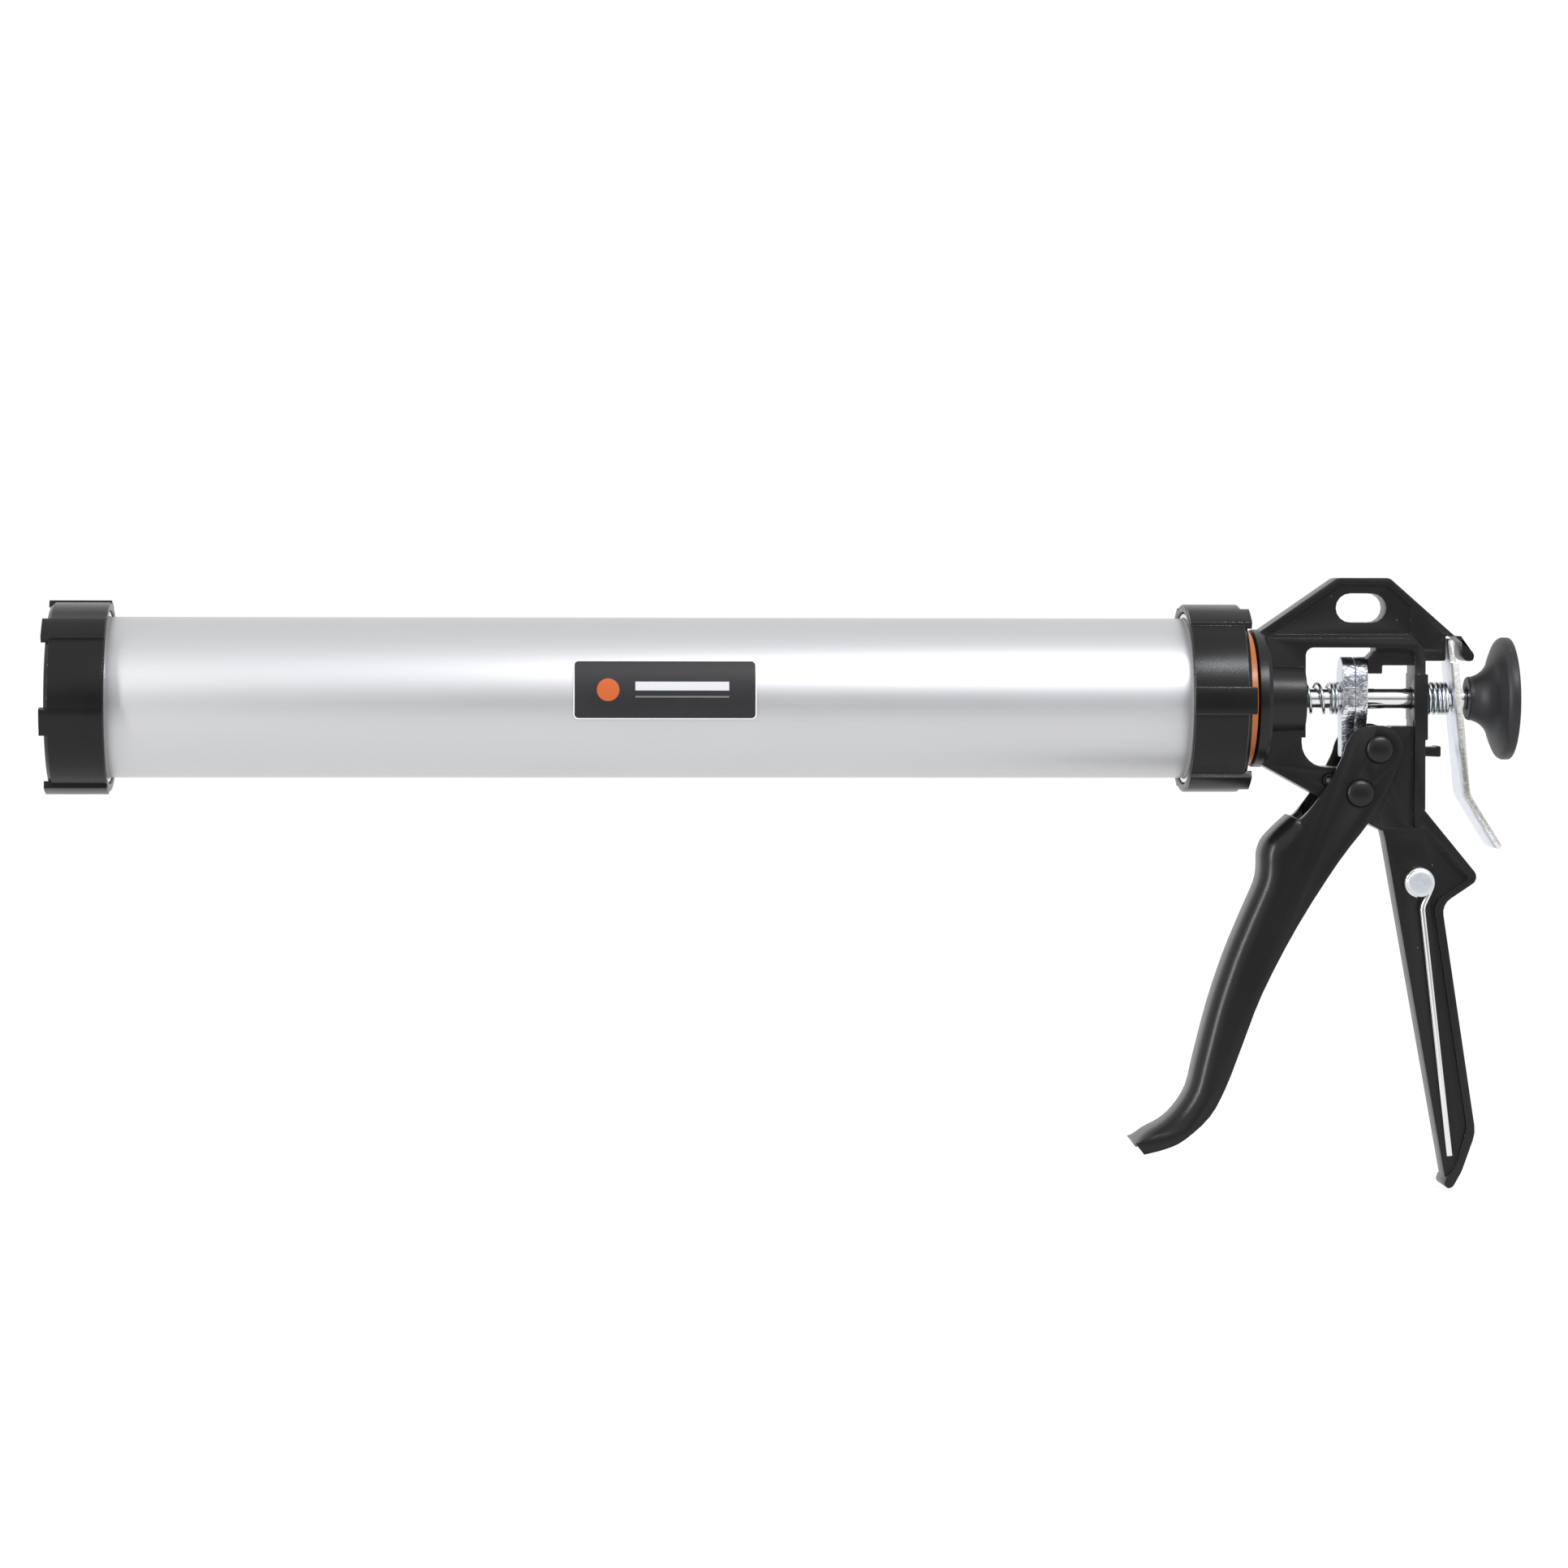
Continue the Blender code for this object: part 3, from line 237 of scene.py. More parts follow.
def satin_aluminium(name, tone=0.585):
    """Drawn tube, etched and anodised: fine lines along the draw, soft clouding and a few pits."""
    metal = Finish(name, (tone, tone, tone), 0.38, 1.0)
    drawn = metal.noise(1, 4, 0.65, at=metal.stretch(8, 900, 900))
    cloud = metal.noise(30, 3)
    grain = metal.noise(2400, 2)
    pits = metal.specks(160, 0.05, 0.03)
    light = (tone * 1.03, tone * 1.035, tone * 1.055)
    dark = (tone * 0.95, tone * 0.955, tone * 0.975)
    metal.set("Base Color", metal.mix(cloud * 0.5 + drawn * 0.5 + pits * 0.6, light, dark))
    metal.set("Roughness", 0.39 + drawn * 0.05 + cloud * 0.05 + grain * 0.03)
    metal.relief(drawn * 0.8 + grain * 0.2, 0.00002, 0.3)
    return metal.material


def bright_collar(name):
    """Turned aluminium: rings of tool marks round the barrel's axis."""
    metal = Finish(name, (0.80, 0.81, 0.82), 0.24, 1.0)
    marks = metal.noise(1, 3, 0.6, at=metal.stretch(2600, 6, 6))
    cloud = metal.noise(90, 2)
    metal.set("Base Color", metal.mix(marks * 0.6 + cloud * 0.4, (0.86, 0.865, 0.875), (0.70, 0.71, 0.73)))
    metal.set("Roughness", 0.18 + marks * 0.14)
    metal.relief(marks, 0.00003, 0.5)
    return metal.material


def orange_nylon(name):
    plastic = Finish(name, (0.60, 0.17, 0.035), 0.34, Specular_IOR_Level=0.45)
    cloud = plastic.noise(120, 3)
    turned = plastic.noise(1, 2, at=plastic.stretch(3000, 20, 20))
    plastic.set("Base Color", plastic.mix(cloud, (0.44, 0.115, 0.020), (0.55, 0.17, 0.040)))
    plastic.set("Roughness", 0.26 + turned * 0.12)
    plastic.relief(turned + cloud * 0.5, 0.00003, 0.4)
    return plastic.material


def zinc_face(name, tone):
    """Electroplated steel, rolled face: bluish white with faint crystal bloom and scuffs."""
    metal = Finish(name, (tone, tone, tone), 0.36, 1.0)
    bloom = metal.noise(240, 4, 0.6)
    crystal = metal.cells(900)
    scuff = metal.noise(1, 3, at=metal.stretch(60, 500, 1400, (0.4, 0.2, 0)))
    light = (tone * 1.08, tone * 1.12, tone * 1.20)
    dark = (tone * 0.90, tone * 0.94, tone * 1.02)
    metal.set("Base Color", metal.mix(bloom * 0.5 + scuff * 0.5, light, dark))
    metal.set("Roughness", 0.32 + bloom * 0.12 + crystal * 0.06)
    metal.relief(bloom * 0.6 + crystal * 0.4, 0.00004, 0.5)
    return metal.material


def sheared_zinc(name, light, dark, depth, share):
    """Plated steel whose edge was punched: a torn, mottled surface with dark patches, partly the torn
    steel's duller tone and partly painted shade in its hollows.
    """
    metal = Finish(name, light, 0.30, 1.0)
    tear = metal.noise(1, 3, 0.5, at=metal.stretch(300, 300, 420), distortion=2.2)
    patch = metal.noise(150, 2)
    chip = metal.cells(900, at=metal.stretch(1, 1, 1.4))
    fine = metal.noise(2200, 3, 0.7)
    shaded_hollow = (tear * 0.6 + patch * 0.4).above(0.50, 0.035)
    edge = chip.above(0.42, 0.12) * tear.above(0.45, 0.05)
    # Dark patches in the hollows: partly painted shade, partly the torn steel's own duller tone.
    metal.set("Base Color", metal.mix(shaded_hollow * share + edge * share * 0.5, light, dark))
    metal.set("Roughness", 0.16 + fine * 0.10 + shaded_hollow * 0.16)
    metal.relief(tear + chip * 0.35 + fine * 0.06, depth, 0.8)
    return metal.material


def bright_rod(name, roughness=0.10, tone=0.78):
    """Bright drawn bar: long draw lines and small scratches."""
    metal = Finish(name, (tone, tone, tone), roughness, 1.0)
    drawn = metal.noise(1, 3, 0.6, at=metal.stretch(12, 2400, 2400))
    wear = metal.noise(90, 3)
    metal.set("Base Color", metal.mix(drawn * 0.5 + wear * 0.5, (tone * 1.06,) * 3, (tone * 0.88,) * 3))
    metal.set("Roughness", roughness + drawn * 0.07 + wear * 0.04)
    metal.relief(drawn, 0.00001, 0.4)
    return metal.material


def coiled_wire(name):
    metal = Finish(name, (0.62, 0.64, 0.66), 0.20, 1.0)
    streak = metal.noise(1500, 3, 0.6)
    worn = metal.noise(260, 2)
    metal.set("Base Color", metal.mix(streak * 0.5 + worn * 0.5, (0.74, 0.78, 0.80), (0.46, 0.50, 0.52)))
    metal.set("Roughness", 0.14 + streak * 0.14)
    metal.relief(streak, 0.00002, 0.4)
    return metal.material


def piston_nylon(name):
    plastic = Finish(name, (0.62, 0.61, 0.57), 0.42)
    cloud = plastic.noise(80, 3)
    turned = plastic.noise(1, 2, at=plastic.stretch(2200, 12, 12))
    plastic.set("Base Color", plastic.mix(cloud, (0.58, 0.57, 0.52), (0.68, 0.67, 0.63)))
    plastic.set("Roughness", 0.36 + turned * 0.14)
    plastic.relief(turned, 0.00003, 0.4)
    return plastic.material


def seal_rubber(name):
    rubber = Finish(name, (0.018, 0.018, 0.018), 0.62)
    cloud = rubber.noise(150, 3)
    pores = rubber.cells(2400)
    rubber.set("Base Color", rubber.mix(cloud, (0.014, 0.014, 0.014), (0.030, 0.030, 0.031)))
    rubber.set("Roughness", 0.55 + pores * 0.2)
    rubber.relief(pores + cloud * 0.5, 0.00005, 0.5)
    return rubber.material


def printed_film(name):
    """Charcoal film with a clear border; on it a round orange dot, a light bar and a thin grey rule."""
    low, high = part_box("barrel_label")
    middle = (low + high) / 2
    film = Finish(name, (0.03, 0.028, 0.031), 0.34, Specular_IOR_Level=0.30)
    x, _, z = film.axes(film.place)
    along = x - middle.x
    up = z - middle.z
    half_x = (high.x - low.x) / 2
    half_z = (high.z - low.z) / 2
    corner = 0.0016
    border_width = 0.00028
    dot_place = -0.0182
    dot_radius = 0.0036
    bar_middle = 0.0055
    bar_length = 0.0300
    sharp = 0.00008

    def bar(height, thickness):
        """1 inside a bar of the print."""
        wide = 1 - (along - bar_middle).size().above(bar_length / 2, sharp)
        tall = 1 - (up - height).size().above(thickness / 2, sharp)
        return wide * tall

    side = along.size().over(half_x - corner)
    top = up.size().over(half_z - corner)
    border = (side * side + top * top).root().above(corner - border_width, sharp)
    from_dot = along - dot_place
    dot = 1 - (from_dot * from_dot + up * up).root().above(dot_radius, sharp)
    light_bar = bar(0.0012, 0.0028)
    rule = bar(-0.0022, 0.0005)
    grain = film.noise(900, 3, 0.6)
    cloud = film.noise(120, 3)
    charcoal = film.mix(cloud * 0.7 + grain * 0.3, (0.013, 0.012, 0.014), (0.020, 0.018, 0.021))
    printed = film.mix(dot, charcoal, (0.42, 0.088, 0.020))
    printed = film.mix(light_bar, printed, (0.50, 0.51, 0.54))
    printed = film.mix(rule, printed, (0.14, 0.14, 0.145))
    film.set("Base Color", film.mix(border, printed, (0.80, 0.80, 0.81)))
    film.set("Roughness", 0.34 + cloud * 0.10 + grain * 0.05)
    film.relief(grain, 0.00002, 0.3)
    return film.material


CASTING = powder_coat("powder_coat_black")
CASTING_EDGE = powder_coat("powder_coat_on_edges", 0.22, 1.0, 1.9)
ENAMEL = trigger_enamel("trigger_enamel_black")
ENAMEL_EDGE = trigger_enamel("trigger_enamel_on_edges", 1.0, 1.7)
CAP_PLASTIC = moulded_plastic("cap_plastic_black", 0.25, 0.0048, 0.26)
# The caps' edge plastic is glossier and a lighter tone than the cap plastic; the lighter tone is a painted
# highlight along the rounded edges.
CAP_EDGE_HIGHLIGHT = moulded_plastic("cap_plastic_edge_highlight", 0.20, 0.0080, 1.0, 1.9)
KNOB_PLASTIC = moulded_plastic("knob_plastic_black", 0.42, 0.014, 0.36)
TUBE_METAL = satin_aluminium("tube_satin_aluminium")
COLLAR_METAL = bright_collar("collar_turned_aluminium")
RING_NYLON = orange_nylon("swivel_orange_nylon")
LABEL_FILM = printed_film("label_printed_film")
ZINC_FACE = zinc_face("zinc_rolled_face", 0.84)
ZINC_RIVET = zinc_face("zinc_rivet_head", 0.66)
# Torn and cut edges: the dark tone in their hollows is partly painted shade, partly the steel's duller
# tone.
ZINC_TORN = sheared_zinc("zinc_sheared_edge", (0.84, 0.85, 0.88), (0.22, 0.24, 0.28), 0.00019, 0.74)
ZINC_CUT = sheared_zinc("zinc_cut_edge", (0.80, 0.80, 0.77), (0.50, 0.50, 0.48), 0.00006, 0.45)
ROD_STEEL = bright_rod("rod_bright_steel")
PIERCER_STEEL = bright_rod("piercer_bright_wire", 0.12, 0.80)
SPRING_STEEL = coiled_wire("spring_plated_wire")
PISTON_NYLON = piston_nylon("piston_white_nylon")
SEAL_RUBBER = seal_rubber("seal_black_rubber")


# ---------------------------------------------------------------- modelling helpers


def deselect():
    bpy.ops.object.select_all(action="DESELECT")


def take(obj):
    """Makes one object the only selected and active one."""
    deselect()
    obj.select_set(True)
    bpy.context.view_layer.objects.active = obj
    return obj


def edit(obj, *steps):
    """Runs edit-mode steps on an object, with everything selected before each."""
    take(obj)
    bpy.ops.object.mode_set(mode="EDIT")
    for step in steps:
        bpy.ops.mesh.select_all(action="SELECT")
        step()
    bpy.ops.object.mode_set(mode="OBJECT")
    return obj


def weld():
    bpy.ops.mesh.remove_doubles(threshold=0.000004)


def flatten():
    bpy.ops.mesh.dissolve_limited(angle_limit=math.radians(0.5))


def close_ends():
    bpy.ops.mesh.fill_holes(sides=0)


def outward():
    bpy.ops.mesh.normals_make_consistent(inside=False)


def apply_modifiers(obj):
    take(obj)
    for modifier in list(obj.modifiers):
        bpy.ops.object.modifier_apply(modifier=modifier.name)
    return obj


def bevelled(obj, width, segments=2, angle=35, finish=-1):
    """Rounds the edges. With a finish, their faces take the piece's material of that number."""
    bevel = obj.modifiers.new("edges", "BEVEL")
    bevel.width = width
    bevel.segments = segments
    bevel.limit_method = "ANGLE"
    bevel.angle_limit = math.radians(angle)
    bevel.material = finish
    return apply_modifiers(obj)


def smooth(obj, angle=40):
    take(obj)
    bpy.ops.object.shade_smooth_by_angle(angle=math.radians(angle))
    return obj


def settle(obj, turn=(0, 0, 0), at=(0, 0, 0)):
    """Turns and moves the mesh itself, so that the object stays at the origin."""
    take(obj)
    obj.rotation_euler = turn
    obj.location = at
    bpy.ops.object.transform_apply(location=True, rotation=True, scale=True)
    return obj


def paint(obj, *materials):
    obj.data.materials.clear()
    for material in materials:
        obj.data.materials.append(material)
    return obj


def fit(obj, body, slot, material, *nodes):
    """Puts a finished piece on its body in place of the CAD nodes. A painted one comes with no material."""
    if material:
        paint(obj, material)
    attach(obj, body)
    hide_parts(*nodes)


def copy_of(node, name):
    """The CAD node's shape as a new piece, its triangles welded and its flat faces made whole."""
    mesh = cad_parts[node].data.copy()
    mesh.name = name
    obj = bpy.data.objects.new(name, mesh)
    bpy.context.scene.collection.objects.link(obj)
    if mesh.has_custom_normals:
        take(obj)
        bpy.ops.mesh.customdata_custom_splitnormals_clear()
    return edit(obj, weld, flatten)


def second_finish(obj, belongs):
    """Moves the faces whose normal passes the test to the piece's second material."""
    for face in obj.data.polygons:
        face.material_index = int(belongs(face.normal))


def ring_of_edges(name, radius, at, turn, sides):
    """A bare circle whose place and turn are already in its mesh."""
    deselect()
    bpy.ops.mesh.primitive_circle_add(vertices=sides, radius=radius, location=at, rotation=turn)
    obj = bpy.context.object
    obj.name = name
    obj.data.name = name
    bpy.ops.object.transform_apply(location=True, rotation=True, scale=True)
    return obj


def lathe(name, profile, ring=False, sides=96, crease=28, turn=(0, 0, 0), at=(0, 0, 0)):
    """Turns a profile of (x, radius) points about X: each point is an extruded and resized circle."""
    x, radius = profile[0]
    obj = ring_of_edges(name, radius, (x, 0, 0), (0, QUARTER, 0), sides)
    bpy.ops.object.mode_set(mode="EDIT")
    bpy.ops.mesh.select_all(action="SELECT")
    for next_x, next_radius in profile[1:] + (profile[:1] if ring else []):
        bpy.ops.mesh.extrude_edges_move(TRANSFORM_OT_translate={"value": (next_x - x, 0, 0)})
        grow = next_radius / radius
        bpy.ops.transform.resize(value=(1, grow, grow), center_override=(next_x, 0, 0))
        x, radius = next_x, next_radius
    bpy.ops.object.mode_set(mode="OBJECT")
    edit(obj, weld, outward) if ring else edit(obj, close_ends, outward)
    return smooth(settle(obj, turn, at), crease)


def eased(corners, steps=3):
    """A profile from corners (x, radius, ease), each corner rounded off over its ease."""
    line = []
    for index, (x, radius, ease) in enumerate(corners):
        here = Vector((x, radius))
        if not ease:
            line.append((x, radius))
            continue
        before = Vector(corners[index - 1][:2])
        after = Vector(corners[(index + 1) % len(corners)][:2])
        start = here + (before - here).normalized() * ease
        end = here + (after - here).normalized() * ease
        for k in range(steps + 1):
            t = k / steps
            line.append(tuple(start.lerp(here, t).lerp(here.lerp(end, t), t)))
    return line


def washer(rear, front, outer, inner, ease=0.0003, inner_ease=0.0002):
    """The eased section of a plain ring."""
    outside = [(rear, outer, ease), (front, outer, ease)]
    inside = [(front, inner, inner_ease), (rear, inner, inner_ease)]
    return eased(outside + inside)


def through(points, steps=5):
    """A smooth line through the points, from the first to the last."""
    line = []
    ends = [points[0], *points, points[-1]]
    for before, here, after, beyond in zip(ends, ends[1:], ends[2:], ends[3:]):
        p0, p1, p2, p3 = (Vector(p) for p in (before, here, after, beyond))
        for k in range(steps):
            t = k / steps
            bend = (2 * p0 - 5 * p1 + 4 * p2 - p3) * t * t + (3 * p1 - p0 - 3 * p2 + p3) * t**3
            line.append(tuple((2 * p1 + (p2 - p0) * t + bend) / 2))
    return [*line, tuple(points[-1])]


def coil(name, start, radius, wire, runs, sides=16, steps=44):
    """A right-hand coil about X. Each run is (turns, pitch), and starts where the last one ended."""
    pieces = []
    x = start
    angle = 0.0
    for turns, pitch in runs:
        run = ring_of_edges(name, wire, (0, 0, radius), (QUARTER, 0, 0), sides)
        settle(run, (angle, 0, 0), (x, 0, 0))
        screw = run.modifiers.new("coil", "SCREW")
        screw.axis = "X"
        screw.angle = 2 * math.pi * turns
        screw.screw_offset = turns * pitch
        screw.steps = round(turns * steps)
        screw.render_steps = screw.steps
        pieces.append(apply_modifiers(run))
        x += turns * pitch
        angle += 2 * math.pi * turns
    take(pieces[0])
    for piece in pieces:
        piece.select_set(True)
    bpy.ops.object.join()
    edit(pieces[0], weld, close_ends, outward)
    return smooth(pieces[0], 50)


def on_circle(centre, radius, angle):
    return Vector((centre[0] + radius * math.cos(angle), centre[1] + radius * math.sin(angle)))


def bent_wire(name, wire, y, centre, loop, first, knee, bend, end, sides=20):
    """A wire in a plane of constant Y: round a rivet, straight to the knee, and bent there to its end."""
    centre, knee, end = Vector(centre), Vector(knee), Vector(end)
    away = knee - centre
    leave = math.atan2(away.y, away.x) + math.acos(loop / away.length)
    lead = Vector((math.sin(first), -math.cos(first)))
    start = on_circle(centre, loop, first)
    off = on_circle(centre, loop, leave)
    along = (knee - off).normalized()
    onward = (end - knee).normalized()
    turn = along.angle(onward)
    reach = bend * math.tan(turn / 2)
    before = knee - along * reach
    bend_centre = before + Vector((-along.y, along.x)) * bend
    place = (start.x, y, start.y)
    obj = ring_of_edges(name, wire, place, (0, math.atan2(lead.x, lead.y), 0), sides)
    bpy.ops.object.mode_set(mode="EDIT")
    bpy.ops.mesh.select_all(action="SELECT")
    bpy.ops.mesh.spin(steps=56, angle=leave - first, center=(centre.x, y, centre.y), axis=(0, 1, 0))
    run = before - off
    bpy.ops.mesh.extrude_edges_move(TRANSFORM_OT_translate={"value": (run.x, 0, run.y)})
    bpy.ops.mesh.spin(steps=10, angle=turn, center=(bend_centre.x, y, bend_centre.y), axis=(0, 1, 0))
    run = end - (knee + onward * reach)
    bpy.ops.mesh.extrude_edges_move(TRANSFORM_OT_translate={"value": (run.x, 0, run.y)})
    bpy.ops.object.mode_set(mode="OBJECT")
    edit(obj, weld, close_ends, outward)
    return smooth(obj, 50)


# ---------------------------------------------------------------- frame and trigger

ON_EDGES = 1
PIN_HEAD = 0.0045
HEAD_HEIGHT = 0.0017
RIM_SHARE = 0.22
DOME_ANGLES = [math.radians(angle) for angle in range(4, 90, 8)]


def die_casting():
    casting = paint(copy_of("frame_casting", "frame_skin"), CASTING, CASTING_EDGE)
    smooth(bevelled(casting, 0.0004, segments=3, angle=32, finish=ON_EDGES), 50)
    fit(casting, "frame", "black_paint", None, "frame_casting")


def pressed_trigger():
    channel = paint(copy_of("trigger", "trigger_skin"), ENAMEL, ENAMEL_EDGE)
    smooth(bevelled(channel, 0.0003, angle=38, finish=ON_EDGES), 42)
    fit(channel, "trigger", "trigger_paint", None, "trigger")


def domed_pin(node, body, shank):
    """A rivet through the trigger: a low round dome on each end, over a thin flat rim."""
    low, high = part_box(node)
    middle = (low + high) / 2
    crown = high.y - middle.y
    under = crown - HEAD_HEIGHT
    brim = crown - HEAD_HEIGHT * (1 - RIM_SHARE)
    dome = [(brim + (crown - brim) * math.cos(a), PIN_HEAD * 0.97 * math.sin(a)) for a in DOME_ANGLES]
    rim = eased([(brim, PIN_HEAD, 0.00012), (under, PIN_HEAD, 0.00008)])
    half = [*dome, *rim, (under, shank)]
    profile = half + [(-x, radius) for x, radius in reversed(half)]
    pin = lathe(node + "_skin", profile, sides=64, turn=(0, 0, QUARTER), at=middle)
    fit(pin, body, "trigger_paint", ENAMEL, node)


def stop_pin():
    """A short tube across the frame's lower arm."""
    low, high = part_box("trigger_stop_pin")
    middle = (low + high) / 2
    reach = high.y - middle.y
    section = washer(reach, -reach, 0.0021, 0.0011, ease=0.0004, inner_ease=0.0003)
    pin = lathe("stop_pin_skin", section, ring=True, sides=48, turn=(0, 0, QUARTER), at=middle)
    fit(pin, "frame", "black_paint", CASTING, "trigger_stop_pin")


die_casting()
pressed_trigger()
domed_pin("trigger_pivot_rivet", "frame", shank=0.0029)
domed_pin("drive_pin", "trigger", shank=0.0027)
stop_pin()

# ---------------------------------------------------------------- barrel

TUBE_WALL = 0.0013
COLLAR_WALL = 0.0016
THREAD_PITCH = 0.0016
THREAD_DEPTH = 0.00028
HUB_BORE = 0.0143


def barrel_tube():
    low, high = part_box("barrel_tube")
    section = washer(high.x, low.x, high.z, high.z - TUBE_WALL)
    tube = lathe("tube_skin", section, ring=True, sides=160)
    fit(tube, "barrel", "anodised_aluminium", TUBE_METAL, "barrel_tube")


def threaded_collar(node):
    """A turned ring: thread ridges between two plain eased ends."""
    low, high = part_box(node)
    outer = high.z
    root = outer - THREAD_DEPTH
    inner = outer - COLLAR_WALL
    ridges = []
    x = low.x + 0.0022
    while x < high.x - 0.0026:
        crest = [(x + THREAD_PITCH * share, outer) for share in (0.35, 0.65)]
        ridges += [(x, root), *crest, (x + THREAD_PITCH, root)]
        x += THREAD_PITCH
    ridges.reverse()
    rear = [(high.x - 0.0003, outer - 0.0003), (high.x - 0.0006, outer), (high.x - 0.0012, outer)]
    front = [(low.x + 0.0012, outer), (low.x + 0.0006, outer), (low.x + 0.0003, outer - 0.0003)]
    bore = [(low.x, outer - 0.0004), (low.x, inner), (high.x, inner), (high.x, outer - 0.0004)]
    collar = lathe(node + "_skin", rear + ridges + front + bore, ring=True, sides=120, crease=25)
    fit(collar, "barrel", "anodised_aluminium", COLLAR_METAL, node)


def lobed_cap(node, body):
    # The rounded edge faces take the lighter edge plastic, a painted highlight along the cap's edges.
    cap = paint(copy_of(node, node + "_skin"), CAP_PLASTIC, CAP_EDGE_HIGHLIGHT)
    smooth(bevelled(cap, 0.00035, segments=3, angle=34, finish=ON_EDGES), 40)
    fit(cap, body, "black_plastic", None, node)


def hub_ring(node, body, slot, material, ease, inner_ease):
    """A plain ring round the frame's hub."""
    low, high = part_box(node)
    section = washer(high.x, low.x, high.z, HUB_BORE, ease, inner_ease)
    ring = lathe(node + "_skin", section, ring=True, sides=120)
    fit(ring, body, slot, material, node)


def plated_fastener(node, body, rounding, angle):
    fastener = smooth(bevelled(copy_of(node, node + "_skin"), rounding, angle=angle), angle)
    fit(fastener, body, "zinc_plate", ZINC_FACE, node)


def barrel_label():
    label = smooth(copy_of("barrel_label", "label_skin"), 30)
    fit(label, "barrel", "label_film", LABEL_FILM, "barrel_label")


barrel_tube()
threaded_collar("rear_thread_collar")
threaded_collar("front_thread_collar")
lobed_cap("rear_cap", "barrel")
lobed_cap("front_cap", "front_cap")
hub_ring("barrel_seat", "barrel", "anodised_aluminium", COLLAR_METAL, 0.0003, 0.0002)
hub_ring("swivel_ring", "frame", "orange_plastic", RING_NYLON, 0.0006, 0.0003)
plated_fastener("retaining_ring", "frame", 0.0002, 35)
barrel_label()

# ---------------------------------------------------------------- plunger

ROD_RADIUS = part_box("plunger_rod")[1].z
BORE = ROD_RADIUS + 0.0004
KNOB_NECK = 0.00715


def plunger_rod():
    low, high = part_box("plunger_rod")
    tip = 0.0004
    rear = [(high.x, tip, 0), (high.x, ROD_RADIUS, 0.0004)]
    front = [(low.x, ROD_RADIUS, 0.0006), (low.x, tip, 0)]
    rod = lathe("rod_skin", eased(rear + front), sides=80)
    fit(rod, "plunger", "bright_steel", ROD_STEEL, "plunger_rod")


def pull_knob():
    """A trumpet: a straight neck that flares out to a rounded rim and a flat face."""
    low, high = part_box("pull_knob")
    flare = through(
        [
            (low.x + 0.0006, KNOB_NECK),
            (-0.0126, KNOB_NECK + 0.00005),
            (-0.0104, 0.0081),
            (-0.0083, 0.0099),
            (-0.0067, 0.0125),
            (-0.0055, 0.0158),
            (-0.0040, 0.0190),
            (-0.0026, high.z),
        ]
    )
    socket = [(-0.0030, 0.0005), (-0.0030, BORE)]
    mouth = eased([(low.x + 0.0004, BORE, 0), (low.x, BORE + 0.0003, 0), (low.x, KNOB_NECK - 0.0004, 0)])
    face = eased([(-0.0010, high.z, 0), (0, high.z, 0.0009), (0, 0.0020, 0)])
    knob = lathe("knob_skin", socket + mouth + flare + face, sides=128, crease=32)
    fit(knob, "plunger", "knob_plastic", KNOB_PLASTIC, "pull_knob")


def piston_disc():
    """A stepped disc with a shallow dish in its face and a low boss round the rod."""
    low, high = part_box("piston_disc")
    rim = high.z
    face = low.x
    dish = face + 0.0010
    section = [
        (high.x, rim - 0.0025, 0.0003),
        (high.x - 0.0040, rim - 0.0025, 0.0004),
        (high.x - 0.0050, rim, 0.0004),
        (face + 0.0012, rim, 0.0006),
        (face, rim - 0.0012, 0.0004),
        (face, rim - 0.0060, 0.0003),
        (dish, rim - 0.0070, 0.0003),
        (dish, 0.0062, 0.0003),
        (face, 0.0055, 0.0003),
        (face, BORE, 0.0002),
        (high.x, BORE, 0.0002),
    ]
    piston = lathe("piston_skin", eased(section), ring=True, sides=112)
    fit(piston, "plunger", "piston_plastic", PISTON_NYLON, "piston_disc")


def piston_seal():
    low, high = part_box("piston_seal")
    lip = [
        (high.x, high.z - 0.0027, 0.0003),
        (low.x + 0.0010, high.z, 0.0004),
        (low.x, high.z, 0.0002),
        (low.x, BORE, 0.0002),
        (high.x, BORE, 0.0002),
    ]
    seal = lathe("seal_skin", eased(lip), ring=True, sides=112)
    fit(seal, "plunger", "black_rubber", SEAL_RUBBER, "piston_seal")


def backing_plate():
    low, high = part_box("piston_backing_plate")
    backing = lathe("backing_skin", washer(high.x, low.x, high.z, BORE), ring=True, sides=96)
    fit(backing, "plunger", "zinc_plate", ZINC_FACE, "piston_backing_plate")


plunger_rod()
pull_knob()
piston_disc()
piston_seal()
backing_plate()
plated_fastener("piston_nut", "plunger", 0.0003, 30)

# ---------------------------------------------------------------- drive and release

SPRING_PLAY = 0.0010
CLOSED_TURNS = 2


def drive_plate(node):
    """A thick punched plate, torn on its edge."""
    plate = smooth(bevelled(copy_of(node, node + "_skin"), 0.0003, angle=40), 35)
    second_finish(paint(plate, ZINC_FACE, ZINC_TORN), lambda normal: abs(normal.x) < 0.8)
    fit(plate, "drive_plates", "zinc_plate", None, node)


def release_plate():
    """The bent thumb plate, sheared on its two sides."""
    plate = smooth(bevelled(copy_of("release_plate", "release_plate_skin"), 0.0002, angle=40), 35)
    second_finish(paint(plate, ZINC_FACE, ZINC_CUT), lambda normal: abs(normal.y) > 0.6)
    fit(plate, "release_plate", "zinc_plate", None, "release_plate")


